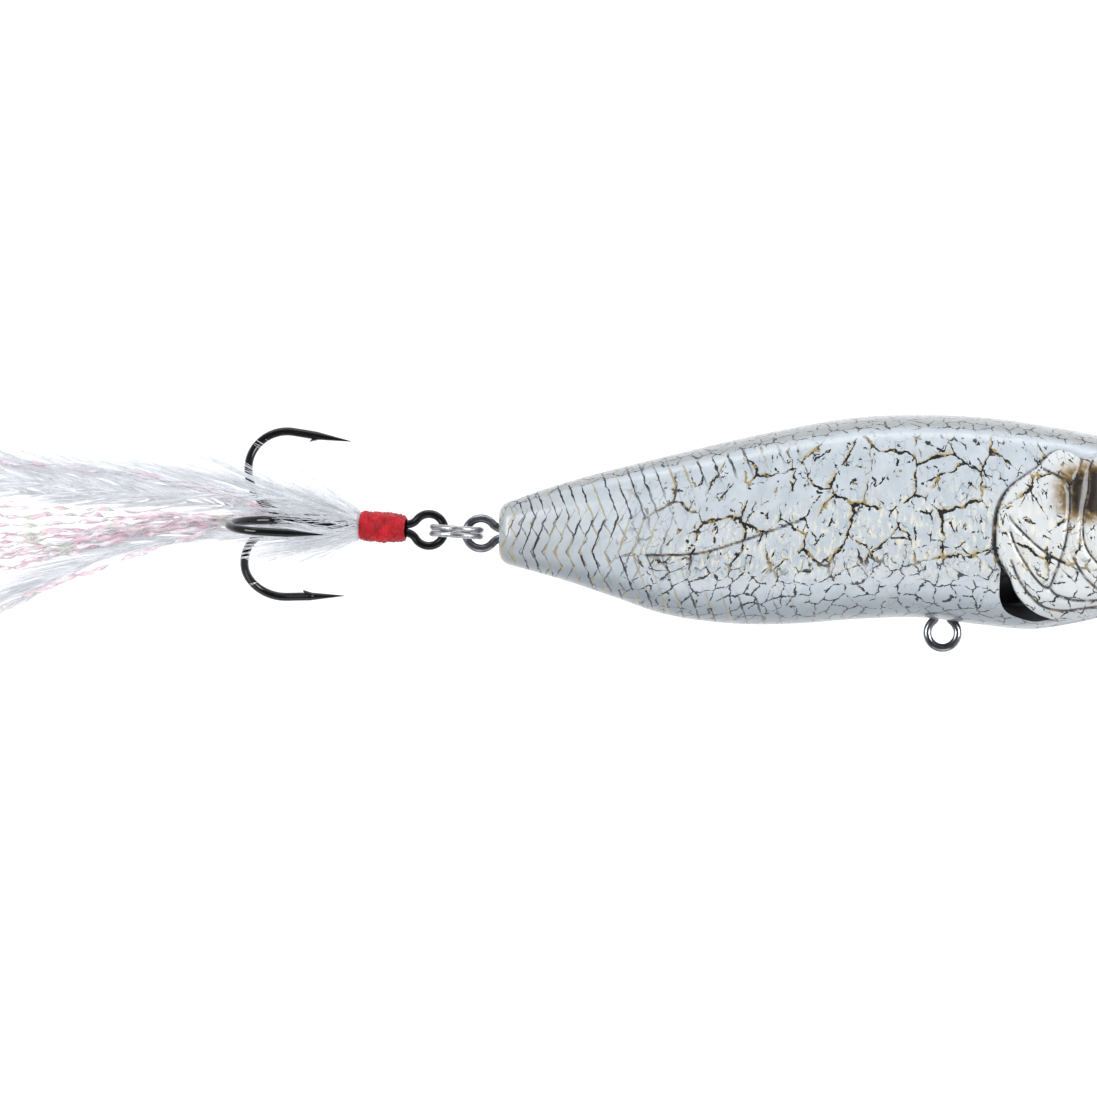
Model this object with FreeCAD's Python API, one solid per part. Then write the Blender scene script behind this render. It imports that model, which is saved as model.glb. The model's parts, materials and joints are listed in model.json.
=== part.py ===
"""Topwater popper: a hollow two-piece lure body with a cupped mouth that feeds a gill vent on each side, three
wire hangers, cast weights, and a feather-dressed treble hook that trails from a split ring.

The lure lies on its left flank. +X points to the nose, +Y to the back, +Z to the right flank (up). The origin is the
centre of the line tie eye. Millimetres.
"""

import FreeCAD, Part
import math
import os

from FreeCAD import Matrix
from FreeCAD import Vector as V

# ---- driving dimensions -------------------------------------------------------------------------------------------
TAIL_X = -79.1  # rear face of the body
LIP_TOP = (-1.1, 7.1)  # X, Y of the upper lip
LIP_BOTTOM = (-3.3, -7.0)  # X, Y of the lower lip
WALL = 1.2  # moulded wall
TAIL_ROUND = 1.0

# Outline of the body: height of the back, height of the belly and half width, each along X
BACK = [(-79.1, 1.5), (-73.0, 3.6), (-62.3, 6.4), (-51.0, 9.0), (-43.0, 10.3), (-36.0, 10.5), (-30.0, 10.2),
        (-22.7, 9.15), (-16.0, 7.9), (-10.0, 7.3), (-4.0, 7.1), (2.0, 7.1)]
BELLY = [(-79.1, -4.2), (-73.0, -5.9), (-67.6, -7.7), (-62.6, -9.4), (-56.0, -10.35), (-50.0, -10.4), (-43.0, -9.9),
         (-37.0, -9.75), (-31.5, -10.4), (-26.0, -10.9), (-21.5, -10.3), (-16.0, -9.0), (-10.0, -7.7), (-4.0, -7.1),
         (2.0, -7.0)]
HALF_WIDTH = [(-79.1, 2.6), (-73.0, 4.2), (-62.0, 6.9), (-51.0, 8.8), (-42.0, 9.2), (-32.0, 9.0), (-22.0, 8.5),
              (-12.0, 7.9), (-5.0, 7.6), (2.0, 7.6)]
WIDEST = 0.03  # height of the widest line above mid height, as a share of the section's height
BACK_POWER = 3.4  # how square a section is above its widest line
BELLY_POWER = 2.15  # and below it
SECTION_POINTS = 28
LOFT_STEP = 5.0  # between the sections of a loft

CUP_DEPTH = 7.2
CUP_HALF_HEIGHT = 6.0
CUP_HALF_WIDTH = 6.4

WIRE = 0.425  # radius of the hanger wire and of the hook wire
GROOVE_GAP = 0.02  # round a wire or a weight that the two halves clamp
EYE_RADIUS = 1.5  # centreline radius of an outer eye
ANCHOR_RADIUS = 1.3  # centreline radius of the loop inside the body
ANCHOR_NECK = 0.7  # centreline radius of the reverse bend before that loop
ANCHOR_GAP_DEG = 24.0  # between the two ends of the wire in the inner loop
MANDREL_LAND = 0.03  # depth of the land that the winding pin leaves inside an eye
# Each hanger: how far its inner loop is from its eye, half the distance between its legs, bend behind its eye
TAIL_HANGER = (5.1, 0.46, 1.4)
LINE_TIE = (13.2, 0.46, 1.2)
BELLY_HANGER = (4.9, 0.75, 0.5)
TAIL_EYE = V(-80.9, -1.34, 0)
BELLY_EYE = V(-34.75, -11.28, 0)

CAVITY_REAR = -72.6
CAVITY_FRONT = -5.0
RIBS = (-64.0, -42.4, -30.0)
RIB_THICK = 1.2
BELLY_BOSS = (-37.6, -31.9, -12.0, -4.2)  # X from and to, Y from and to: holds the belly hanger
TIE_BOSS = (-16.5, -7.0, -2.5, 2.5)  # holds the line tie
BOSS_HALF = 2.2  # half thickness of both, along Z
WEIGHT_RADIUS = 2.6
WEIGHT_Y = -1.3
RATTLE_Y = -2.0
BALL_RADIUS = 2.0
CHAMBER_RADIUS = 2.15
CHAMBER_WALL = 0.85
PIN_RADIUS = 0.8
PIN_HIGH = 1.2
DOWELS = ((-68.0, 2.9), (-53.0, 5.8), (-36.0, 6.6), (-21.0, 5.9))  # X, Y of the alignment pins

EYE_SPOT = (-13.5, 2.6)  # X, Y of the lure's own eyes
EYE_SOCKET = 3.3
SOCKET_FLOOR = 6.3  # Z of the socket's floor
SOCKET_WALL = 0.8
SOCKET_FLOOR_THICK = 1.1
IRIS_RADIUS = 3.2
IRIS_THICK = 0.5
DOME_RISE = 1.3

DUCT_FROM = V(-6.5, -1.5, 3.9)
DUCT_TO = V(-30.5, -7.5, 5.4)
DUCT_BORE = 1.9
DUCT_WALL = 0.6
# X, Y along the vent: its edge against the gill plate, then its edge against the belly
VENT_UPPER = [(-29.25, -4.7), (-26.6, -8.7), (-23.7, -10.0)]
VENT_LOWER = [(-23.7, -10.0), (-27.6, -9.9), (-29.35, -8.0)]
VENT_THROUGH = -25.4  # the vent is open to the duct behind this X, and a shallow pocket ahead of it
POCKET_DEEP = 0.8
GILL_GROOVE = 0.45  # depth and half of the width of the line round each gill plate
GILL_EDGE = [(-23.1, 7.0), (-26.8, 4.4), (-29.1, 2.1), (-29.7, -1.2), (-29.3, -4.0)]

TRAIL_TILT = 3.8  # degrees that the split ring and the treble point towards the back
DROOP = 9.0  # degrees that the treble drops from the ring to the table
RING_RADIUS = 2.45  # centreline of the split ring
RING_WIRE = 0.3
RING_PITCH = 0.64  # between the ring's two turns
RING_GAP_DEG = 16.0  # arc taken by the step from one turn to the other
RING_SPLIT_DEG = 110.0  # where that step is, round the ring from +X

HOOK_EYE_OUT = 2.85  # from the ring's centre to the centre of the treble's eye
HOOK_EYE_RADIUS = 1.6
HOOK_NECK = 1.2  # centreline radius of the reverse bend behind the treble's eye
SHANK_END = 13.6  # distances along the shank are from the centre of the treble's eye
BEND_OUT = 5.5  # radius of the first half of a bend
BEND_IN = 3.7  # radius of the second half
POINT_IN_DEG = 6.0  # how far a point leans towards the shank
POINT_LONG = 6.0
TAPER_LONG = 3.6
TIP_RADIUS = 0.03
BARB_LONG = 0.75
BARB_OUT = 0.62
BARB_THICK = 0.24
HOOK_ANGLES = {"up": 22.0, "down": 142.0, "out": 262.0}  # round the shank, from the back away from the right flank
SPREAD = 0.43  # half the distance between the two wires of the double hook
SINGLE_Z = 0.5
DOUBLE_Z = -0.25
SINGLE_FROM = 3.0  # distance along the shank at which the brazed hook starts

WRAP_FROM, WRAP_TO = 2.3, 6.9
# Distance along the shank and radius: the outside of the wrap, then back along its bore
WRAP_OUTER = [(WRAP_FROM, 1.27), (WRAP_FROM + 1.2, 1.42), (WRAP_FROM + 2.4, 1.5), (WRAP_TO - 0.5, 1.5), (WRAP_TO, 1.35)]
WRAP_INNER = [(WRAP_TO, 1.28), (WRAP_FROM + 1.0, 1.28), (WRAP_FROM, 1.02)]
QUILL = 0.12  # radius of a quill
QUILL_OUT = 1.13  # distance of a quill from the shank's axis
QUILL_FROM, QUILL_TO = 3.8, 7.4  # along the shank
VANE_THICK = 0.35
VANE_STATIONS = 10

# Each vane is drawn by lines of (distance along the shank, value). Two are its outlines, in height towards the back,
# and the third is its level in front of the shank or behind it.
ROOT = WRAP_TO + 0.06
NEAR_LEVEL = [(ROOT, 0.95), (18, 0.95), (30, 1.4), (57, 2.4)]
FAR_LEVEL = [(ROOT, -1.1), (18, -1.1), (30, -0.5), (48, 0.5)]
TINSEL_LEVEL = [(ROOT, -1.1), (9.5, -1.5), (18, -1.5), (30, -1.1), (57, 0.2)]
UPPER_HACKLE = ([(ROOT, 1.15), (12, 2.6), (18, 4.4), (26, 4.8), (36, 4.5), (46, 3.2), (55, 1.5)],
                [(ROOT, 0.6), (18, 0.75), (28, 0.9), (38, 0.9), (46, 0.8), (55, 1.3)])
LOWER_HACKLE = ([(ROOT, -0.6), (18, -0.8), (26, -1.2), (34, -3.0), (42, -6.6), (50, -12.4)],
                [(ROOT, -1.1), (14, -2.2), (22, -3.8), (30, -5.2), (38, -8.6), (50, -12.7)])
REAR_HACKLE = ([(ROOT, 0.5), (14, 0.5), (16.5, 1.2), (20, 2.4), (28, 3.2), (38, 2.6), (46, 0.9)],
               [(ROOT, 0.05), (18, 0.0), (28, -0.2), (38, -0.2), (46, 0.7)])
TINSEL = ([(ROOT, -0.1), (10, -0.05), (14, 0.2), (18, 0.2), (28, -0.3), (38, -1.2), (48, -3.8), (55, -8.2)],
          [(ROOT, -0.5), (14, -0.5), (17, -0.8), (24, -2.6), (34, -6.0), (44, -8.4), (55, -8.8)])


def smooth_line(points):
    """A function through the points: cubic pieces whose slopes come from the points on either side."""
    xs = [p[0] for p in points]
    ys = [p[1] for p in points]
    steps = [(ys[i + 1] - ys[i]) / (xs[i + 1] - xs[i]) for i in range(len(xs) - 1)]
    slopes = [steps[0]] + [(a + b) / 2 for a, b in zip(steps, steps[1:])] + [steps[-1]]

    def value(x):
        i = max(k for k in range(len(xs) - 1) if xs[k] <= x or k == 0)
        h = xs[i + 1] - xs[i]
        t = (x - xs[i]) / h
        return ((1 + 2 * t) * (1 - t) ** 2 * ys[i] + t * (1 - t) ** 2 * h * slopes[i]
                + t * t * (3 - 2 * t) * ys[i + 1] + t * t * (t - 1) * h * slopes[i + 1])

    return value


back_at, belly_at, half_at = smooth_line(BACK), smooth_line(BELLY), smooth_line(HALF_WIDTH)


def section(x, inset):
    """The closed curve of the body at X, moved in by inset: a squared oval above its widest line, rounder below."""
    top, bottom, half = back_at(x) - inset, belly_at(x) + inset, half_at(x) - inset
    widest = (top + bottom) / 2 + WIDEST * (top - bottom)
    points = []
    for k in range(SECTION_POINTS):
        a = 2 * math.pi * k / SECTION_POINTS
        power = BACK_POWER if math.cos(a) >= 0 else BELLY_POWER
        reach = top - widest if math.cos(a) >= 0 else widest - bottom
        y = widest + reach * math.copysign(abs(math.cos(a)) ** (2 / power), math.cos(a))
        z = half * math.copysign(abs(math.sin(a)) ** (2 / power), math.sin(a))
        points.append(V(x, y, z))
    curve = Part.BSplineCurve()
    curve.interpolate(points, PeriodicFlag=True)
    return Part.Wire([curve.toShape()])


def body_loft(x0, x1, inset):
    count = round((x1 - x0) / LOFT_STEP)
    return Part.makeLoft([section(x0 + (x1 - x0) * k / count, inset) for k in range(count + 1)], True)


def box(x0, x1, y0, y1, z0, z1):
    return Part.makeBox(x1 - x0, y1 - y0, z1 - z0, V(x0, y0, z0))


def rod(start, end, radius):
    return Part.makeCylinder(radius, (end - start).Length, start, end - start)


def mirrored(shape):
    """The same shape on the left side."""
    return shape.mirror(V(0, 0, 0), V(0, 0, 1))


def scaled_ball(centre, ax, ay, az):
    m = Matrix()
    m.scale(ax, ay, az)
    ball = Part.makeSphere(1.0).transformGeometry(m)
    return ball.translated(centre)


def front_plane_block():
    """Everything ahead of the slanted face that joins the two lips."""
    slope = (LIP_TOP[0] - LIP_BOTTOM[0]) / (LIP_TOP[1] - LIP_BOTTOM[1])
    high, low, far = 12.0, -12.0, 12.0
    face = [V(LIP_TOP[0] + slope * (high - LIP_TOP[1]), high, -far), V(far, high, -far), V(far, low, -far),
            V(LIP_TOP[0] + slope * (low - LIP_TOP[1]), low, -far)]
    return Part.Face(Part.makePolygon(face + face[:1])).extrude(V(0, 0, 2 * far))


def cup(grow):
    centre = V((LIP_TOP[0] + LIP_BOTTOM[0]) / 2, 0, 0)
    return scaled_ball(centre, CUP_DEPTH + grow, CUP_HALF_HEIGHT + grow, CUP_HALF_WIDTH + grow)


def arc(centre, radius, start_deg, end_deg):
    """An arc in the XY plane, in either sense."""
    angles = [math.radians(start_deg + (end_deg - start_deg) * k / 2) for k in range(3)]
    return Part.Arc(*[centre + V(math.cos(a), math.sin(a), 0) * radius for a in angles]).toShape()


def swept(edges, radius):
    """Round wire along a smooth path."""
    path = Part.Wire(Part.__sortEdges__(edges))
    first = path.OrderedEdges[0]
    start = path.OrderedVertexes[0].Point
    circle = Part.Circle(start, first.tangentAt(first.Curve.parameter(start)), radius).toShape()
    return path.makePipeShell([Part.Wire([circle])], True, False)


def loop_half(radius, neck, leg, sign):
    """Half of a wire loop about the origin and the reverse bend after it: the edges and where the straight leg starts.

    The loop starts at (-radius, 0). The leg runs along +X at a distance leg from the axis.
    """
    centre_y = leg + neck
    exit_deg = 180 - math.degrees(math.asin(centre_y / (radius + neck)))
    leg_x = math.sqrt((radius + neck) ** 2 - centre_y ** 2)
    edges = [arc(V(0, 0, 0), radius, sign * 180, sign * (180 - exit_deg)),
             arc(V(leg_x, sign * centre_y, 0), neck, sign * (360 - exit_deg), sign * 270)]
    return edges, leg_x


def hanger(grow, reach, leg, neck):
    """A wire hanger: an eye about the origin, two straight legs along +X and a nearly closed anchor loop at reach."""
    gap = ANCHOR_GAP_DEG / 2 - 50 * grow
    edges = []
    for sign in (1, -1):
        eye, eye_leg = loop_half(EYE_RADIUS, neck, leg, sign)
        anchor_y = leg + ANCHOR_NECK
        anchor_leg = math.sqrt((ANCHOR_RADIUS + ANCHOR_NECK) ** 2 - anchor_y ** 2)
        enter_deg = 180 - math.degrees(math.asin(anchor_y / (ANCHOR_RADIUS + ANCHOR_NECK)))
        edges += eye
        edges.append(Part.LineSegment(V(eye_leg, sign * leg, 0), V(reach - anchor_leg, sign * leg, 0)).toShape())
        edges.append(arc(V(reach - anchor_leg, sign * anchor_y, 0), ANCHOR_NECK, sign * 270, sign * (enter_deg + 180)))
        edges.append(arc(V(reach, 0, 0), ANCHOR_RADIUS, sign * enter_deg, sign * gap))
    wire = swept(edges, WIRE + grow)
    if grow:
        return wire
    return wire.cut(Part.makeCylinder(EYE_RADIUS - WIRE + MANDREL_LAND, 2, V(0, 0, -1)))


def tail_hanger(grow=0):
    return hanger(grow, *TAIL_HANGER).translated(TAIL_EYE)


def line_tie(grow=0):
    wire = hanger(grow, *LINE_TIE)
    wire.rotate(V(0, 0, 0), V(0, 0, 1), 180)
    return wire


def belly_hanger(grow=0):
    wire = hanger(grow, *BELLY_HANGER)
    wire.rotate(V(0, 0, 0), V(0, 0, 1), 90)
    return wire.translated(BELLY_EYE)


def fused(shapes):
    whole = shapes[0].multiFuse(shapes[1:])
    return whole.removeSplitter()


def duct_rod(radius):
    along = (DUCT_TO - DUCT_FROM).normalize()
    start = DUCT_FROM - along * 4
    return rod(start, DUCT_TO, radius)


def vent_prism():
    """The crescent between the lower rear edge of the gill plate and the belly, as a block along Z."""
    upper, lower = (Part.Arc(*[V(x, y, 0) for x, y in edge]).toShape() for edge in (VENT_UPPER, VENT_LOWER))
    rear = Part.LineSegment(V(*VENT_LOWER[-1], 0), V(*VENT_UPPER[0], 0)).toShape()
    return Part.Face(Part.Wire([upper, lower, rear])).translated(V(0, 0, 3)).extrude(V(0, 0, 9))


def gill_line():
    """A thin block along the rear edge of the gill plate."""
    curve = Part.BSplineCurve()
    curve.interpolate([V(x, y, 0) for x, y in GILL_EDGE])
    inner = curve.toShape()
    outer = inner.translated(V(-GILL_GROOVE, 0.12, 0))
    return Part.makeRuledSurface(inner, outer).extrude(V(0, 0, 12))


def cavity(gap):
    """The air space of both halves, less the ribs, bosses and collars that the halves are moulded with."""
    space = body_loft(CAVITY_REAR, CAVITY_FRONT, WALL + gap).cut(cup(WALL + gap))
    keep = [box(x - RIB_THICK / 2 - gap, x + RIB_THICK / 2 + gap, -15, 15, -12, 12) for x in RIBS]
    keep.append(rod(V(CAVITY_REAR - 1, WEIGHT_Y, 0), V(RIBS[0], WEIGHT_Y, 0), WEIGHT_RADIUS + CHAMBER_WALL))
    keep.append(rod(V(RIBS[0], RATTLE_Y, 0), V(RIBS[1], RATTLE_Y, 0), CHAMBER_RADIUS + CHAMBER_WALL))
    keep += [box(*boss, -BOSS_HALF - gap, BOSS_HALF + gap) for boss in (BELLY_BOSS, TIE_BOSS)]
    for x, y in DOWELS:
        keep.append(rod(V(x, y, -12), V(x, y, 12), PIN_RADIUS * 2))
    for side in (1, -1):
        inner = V(*EYE_SPOT, side * (SOCKET_FLOOR - SOCKET_FLOOR_THICK - gap))
        keep.append(rod(inner, V(*EYE_SPOT, side * 12), EYE_SOCKET + SOCKET_WALL))
    return space.cut(keep[0].multiFuse(keep[1:]))


def right_half(solid, space):
    """The right half before its pin holes: outer form less air space, mouth, vent, duct ways, sockets and grooves."""
    half = solid.common(box(-90, 10, -20, 20, 0, 20))
    skin = body_loft(-45, -8, POCKET_DEEP)
    groove_floor = body_loft(-45, -8, GILL_GROOVE)
    vent = vent_prism()
    cuts = [space, cup(0), duct_rod(DUCT_BORE).common(cup(WALL + 0.4)),
            vent.common(box(-40, VENT_THROUGH, -20, 0, 0, 12)), vent.cut(skin), gill_line().cut(groove_floor),
            rod(V(*EYE_SPOT, SOCKET_FLOOR), V(*EYE_SPOT, 12), EYE_SOCKET),
            rod(V(CAVITY_REAR, WEIGHT_Y, 0), V(RIBS[0] - RIB_THICK / 2, WEIGHT_Y, 0), WEIGHT_RADIUS + GROOVE_GAP),
            rod(V(RIBS[0] + RIB_THICK / 2, RATTLE_Y, 0), V(RIBS[1] - RIB_THICK / 2, RATTLE_Y, 0), CHAMBER_RADIUS),
            tail_hanger(GROOVE_GAP), belly_hanger(GROOVE_GAP), line_tie(GROOVE_GAP)]
    for tool in cuts:
        half = half.cut(tool)
    return half


def shells():
    solid = body_loft(TAIL_X, 2.0, 0).cut(front_plane_block())
    rim = [e for e in solid.Edges if abs(e.BoundBox.XMax - TAIL_X) < 0.01 and e.Length > 5]
    solid = solid.makeFillet(TAIL_ROUND, rim)
    half = right_half(solid, cavity(0))
    right, left = half, mirrored(half)
    for x, y in DOWELS:
        right = right.cut(rod(V(x, y, 0), V(x, y, PIN_HIGH + 0.15), PIN_RADIUS + 0.03))
        left = left.fuse(rod(V(x, y, -0.5), V(x, y, PIN_HIGH), PIN_RADIUS))
    return {"shell_right": right, "shell_left": left}


def gill_duct():
    """The dark liner that carries water from the mouth to the right gill vent, shut off from the air space."""
    tube = duct_rod(DUCT_BORE + DUCT_WALL).cut(duct_rod(DUCT_BORE))
    liner = tube.common(cavity(0.05)).common(box(-90, 0, -20, 20, 0.05, 20))
    return max(liner.Solids, key=lambda s: s.Volume)


def lure_eye(side):
    """A printed iris disc and the clear dome over it."""
    x, y = EYE_SPOT
    floor = SOCKET_FLOOR + GROOVE_GAP
    iris = Part.makeCylinder(IRIS_RADIUS, IRIS_THICK, V(x, y, floor))
    ball_radius = (IRIS_RADIUS ** 2 + DOME_RISE ** 2) / (2 * DOME_RISE)
    lens = Part.makeSphere(ball_radius, V(x, y, floor + IRIS_THICK + DOME_RISE - ball_radius))
    lens = lens.common(Part.makeCylinder(IRIS_RADIUS, 5, V(x, y, floor + IRIS_THICK)))
    return (iris, lens) if side > 0 else (mirrored(iris), mirrored(lens))


def weights():
    slug = rod(V(CAVITY_REAR + 0.1, WEIGHT_Y, 0), V(RIBS[0] - RIB_THICK / 2 - 0.1, WEIGHT_Y, 0), WEIGHT_RADIUS)
    ball_x = RIBS[0] + RIB_THICK / 2 + BALL_RADIUS + 0.05
    return {"tail_weight": slug, "rattle_ball": Part.makeSphere(BALL_RADIUS, V(ball_x, RATTLE_Y, 0))}


def ring_centre():
    tilt = math.radians(TRAIL_TILT)
    return TAIL_EYE + V(-math.cos(tilt), math.sin(tilt), 0) * RING_RADIUS


def placed_on_ring(shape, droop=0.0):
    """From the treble's own frame, origin at the ring's centre and shank along -X, to the lure's."""
    moved = shape.copy()
    moved.rotate(V(0, 0, 0), V(0, 1, 0), -droop)
    moved.rotate(V(0, 0, 0), V(0, 0, 1), -TRAIL_TILT)
    moved.translate(ring_centre())
    return moved


def split_ring():
    """Two turns of round wire, stepped from one to the other where the ring is split."""
    parts = []
    half = RING_GAP_DEG / 2
    for sign in (1, -1):
        turn = Part.makeTorus(RING_RADIUS, RING_WIRE, V(0, 0, 0), V(0, 1, 0), -180, 180, 360 - RING_GAP_DEG)
        turn.translate(V(0, sign * RING_PITCH / 2, 0))
        parts.append(turn)
    ends = sorted(parts[0].Faces, key=lambda f: f.Area)[:2]
    first, last = (V(f.CenterOfMass) for f in ends)
    low, high = V(first.x, -RING_PITCH / 2, first.z), V(last.x, RING_PITCH / 2, last.z)
    parts += [rod(low, high, RING_WIRE), Part.makeSphere(RING_WIRE, low), Part.makeSphere(RING_WIRE, high)]
    ring = fused(parts)
    facing = math.degrees(math.atan2(-(first.z + last.z), first.x + last.x))
    ring.rotate(V(0, 0, 0), V(0, 1, 0), RING_SPLIT_DEG - facing)
    return placed_on_ring(ring)


def hook_bend(angle_deg, start, begin):
    """The centreline of one hook from the shank round to the foot of its point, and the solid point with its barb."""
    direction = V(0, math.cos(math.radians(angle_deg)), -math.sin(math.radians(angle_deg)))
    lean = math.radians(POINT_IN_DEG)
    slant = math.sin(math.pi / 4)

    def at(along, out):
        """The point at a distance along the shank from the treble's eye and out from the wire's own centreline."""
        return V(-HOOK_EYE_OUT - along, start.y, start.z) + direction * out

    far = SHANK_END + BEND_OUT
    turn = (far - BEND_IN, BEND_OUT)
    middle = math.pi / 4 + lean / 2
    end = (turn[0] - BEND_IN * math.sin(lean), turn[1] + BEND_IN * math.cos(lean))
    straight = POINT_LONG - TAPER_LONG
    foot = (end[0] - straight * math.cos(lean), end[1] - straight * math.sin(lean))
    edges = [Part.LineSegment(at(begin, 0), at(SHANK_END, 0)).toShape(),
             Part.Arc(at(SHANK_END, 0), at(SHANK_END + BEND_OUT * slant, BEND_OUT * (1 - slant)),
                      at(far, BEND_OUT)).toShape(),
             Part.Arc(at(far, BEND_OUT), at(turn[0] + BEND_IN * math.cos(middle), turn[1] + BEND_IN * math.sin(middle)),
                      at(*end)).toShape(),
             Part.LineSegment(at(*end), at(*foot)).toShape()]
    heading = (at(*foot) - at(*end)).normalize()
    inward = (V(-math.sin(lean), 0, 0) - direction * math.cos(lean)).normalize()
    point = Part.makeCone(WIRE, TIP_RADIUS, TAPER_LONG, at(*foot), heading)
    root = at(*foot) + heading * 0.2 + inward * 0.12
    tip = root - heading * BARB_LONG + inward * BARB_OUT
    barb = Part.Face(Part.makePolygon([root + heading * 0.7, root - heading * 0.3, tip, root + heading * 0.7]))
    side = heading.cross(inward) * BARB_THICK
    barb = barb.translated(side * -0.5).extrude(side)
    return edges, point.fuse(barb)


def hooks():
    """The treble: one wire bent into the eye and two hooks, and a single hook brazed along its shank."""
    eye_at = V(-HOOK_EYE_OUT, 0, DOUBLE_Z)
    edges, points = [], []
    for sign, name in ((1, "up"), (-1, "down")):
        half, leg_x = loop_half(HOOK_EYE_RADIUS, HOOK_NECK, SPREAD, sign)
        for edge in half:
            edge.rotate(V(0, 0, 0), V(0, 1, 0), 180)
            edges.append(edge.translated(eye_at))
        more, point = hook_bend(HOOK_ANGLES[name], V(0, sign * SPREAD, DOUBLE_Z), leg_x)
        edges += more
        points.append(point)
    double = fused([swept(edges, WIRE)] + points)
    edges, point = hook_bend(HOOK_ANGLES["out"], V(0, 0, SINGLE_Z), SINGLE_FROM)
    return {"hook_double": double, "hook_single": fused([swept(edges, WIRE), point])}


def thread_wrap():
    """The varnished thread that ties the dressing to the shank."""
    outline = [V(along, radius, 0) for along, radius in WRAP_OUTER + WRAP_INNER]
    face = Part.Face(Part.makePolygon(outline + outline[:1]))
    wrap = face.revolve(V(0, 0, 0), V(1, 0, 0), 360)
    wrap.rotate(V(0, 0, 0), V(0, 1, 0), 180)
    return wrap.translated(V(-HOOK_EYE_OUT, 0, 0))


def smooth_edge(line, place):
    """A smooth curve over the stations of a line of (distance along the shank, value), set in space by place."""
    value = smooth_line(line)
    first, last = line[0][0], line[-1][0]
    stations = [first + (last - first) * k / VANE_STATIONS for k in range(VANE_STATIONS + 1)]
    curve = Part.BSplineCurve()
    curve.interpolate([place(s, value(s)) for s in stations])
    return curve.toShape()


def vane(upper, lower, lift, quill_y):
    """A flat feather or tinsel bundle on a quill that lies under the wrap.

    upper and lower are its outlines from the wrap to the tip, as distance along the shank and height towards the back.
    lift is the distance along the shank and the level at which the vane runs there.
    """
    def flat(s, y):
        return V(-HOOK_EYE_OUT - s, y, -10)

    def level(s, z):
        return V(-HOOK_EYE_OUT - s, -25, z - VANE_THICK / 2)

    root, tip = (Part.LineSegment(flat(*lower[k]), flat(*upper[k])).toShape() for k in (0, -1))
    outline = Part.Wire(Part.__sortEdges__([smooth_edge(upper, flat), tip, smooth_edge(lower, flat), root]))
    leaf = Part.Face(outline).extrude(V(0, 0, 20))
    floor = smooth_edge(lift, level)
    strip = Part.makeRuledSurface(floor, floor.translated(V(0, 0, VANE_THICK))).extrude(V(0, 50, 0))
    quill_z = math.copysign(math.sqrt(QUILL_OUT ** 2 - quill_y ** 2), lift[0][1])
    ends = [V(-HOOK_EYE_OUT - along, quill_y, quill_z) for along in (QUILL_FROM, QUILL_TO)]
    quill = rod(*ends, QUILL)
    return leaf.common(strip).fuse(quill).removeSplitter()


def dressing():
    """Two long hackles on the near side of the shank, one behind it, and a bundle of tinsel."""
    return {"feather_upper": vane(*UPPER_HACKLE, NEAR_LEVEL, 0.75),
            "feather_lower": vane(*LOWER_HACKLE, NEAR_LEVEL, -0.75),
            "feather_behind": vane(*REAR_HACKLE, FAR_LEVEL, 0.3),
            "tinsel_bundle": vane(*TINSEL, TINSEL_LEVEL, -0.3)}


def build():
    nodes = shells()
    duct = gill_duct()
    nodes.update({"gill_duct_right": duct, "gill_duct_left": mirrored(duct)})
    for name, side in (("right", 1), ("left", -1)):
        nodes["eye_iris_" + name], nodes["eye_dome_" + name] = lure_eye(side)
    nodes.update({"line_tie_wire": line_tie(), "belly_hanger_wire": belly_hanger(),
                  "tail_hanger_wire": tail_hanger(), "split_ring": split_ring()})
    nodes.update(weights())
    treble = hooks()
    treble["thread_wrap"] = thread_wrap()
    treble.update(dressing())
    nodes.update({name: placed_on_ring(shape, DROOP) for name, shape in treble.items()})
    return nodes


def main():
    os.makedirs("parts", exist_ok=True)
    for name, shape in build().items():
        print(name, "valid" if shape.isValid() else "NOT VALID", "solids", len(shape.Solids),
              "mm3", round(shape.Volume, 2), "z", round(shape.BoundBox.ZMin, 2), round(shape.BoundBox.ZMax, 2))
        shape.exportStep("parts/" + name + ".step")
    centre = ring_centre()
    print("ring centre", round(centre.x, 4), round(centre.y, 4), "tail eye", TAIL_EYE)


main()
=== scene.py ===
"""The looks of the topwater popper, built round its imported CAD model. Lengths here are in millimetres.

+X is the nose, +Y the back and +Z the right flank, which faces up: the lure lies on its left flank.
"""

import json
import math
from collections import namedtuple

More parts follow.
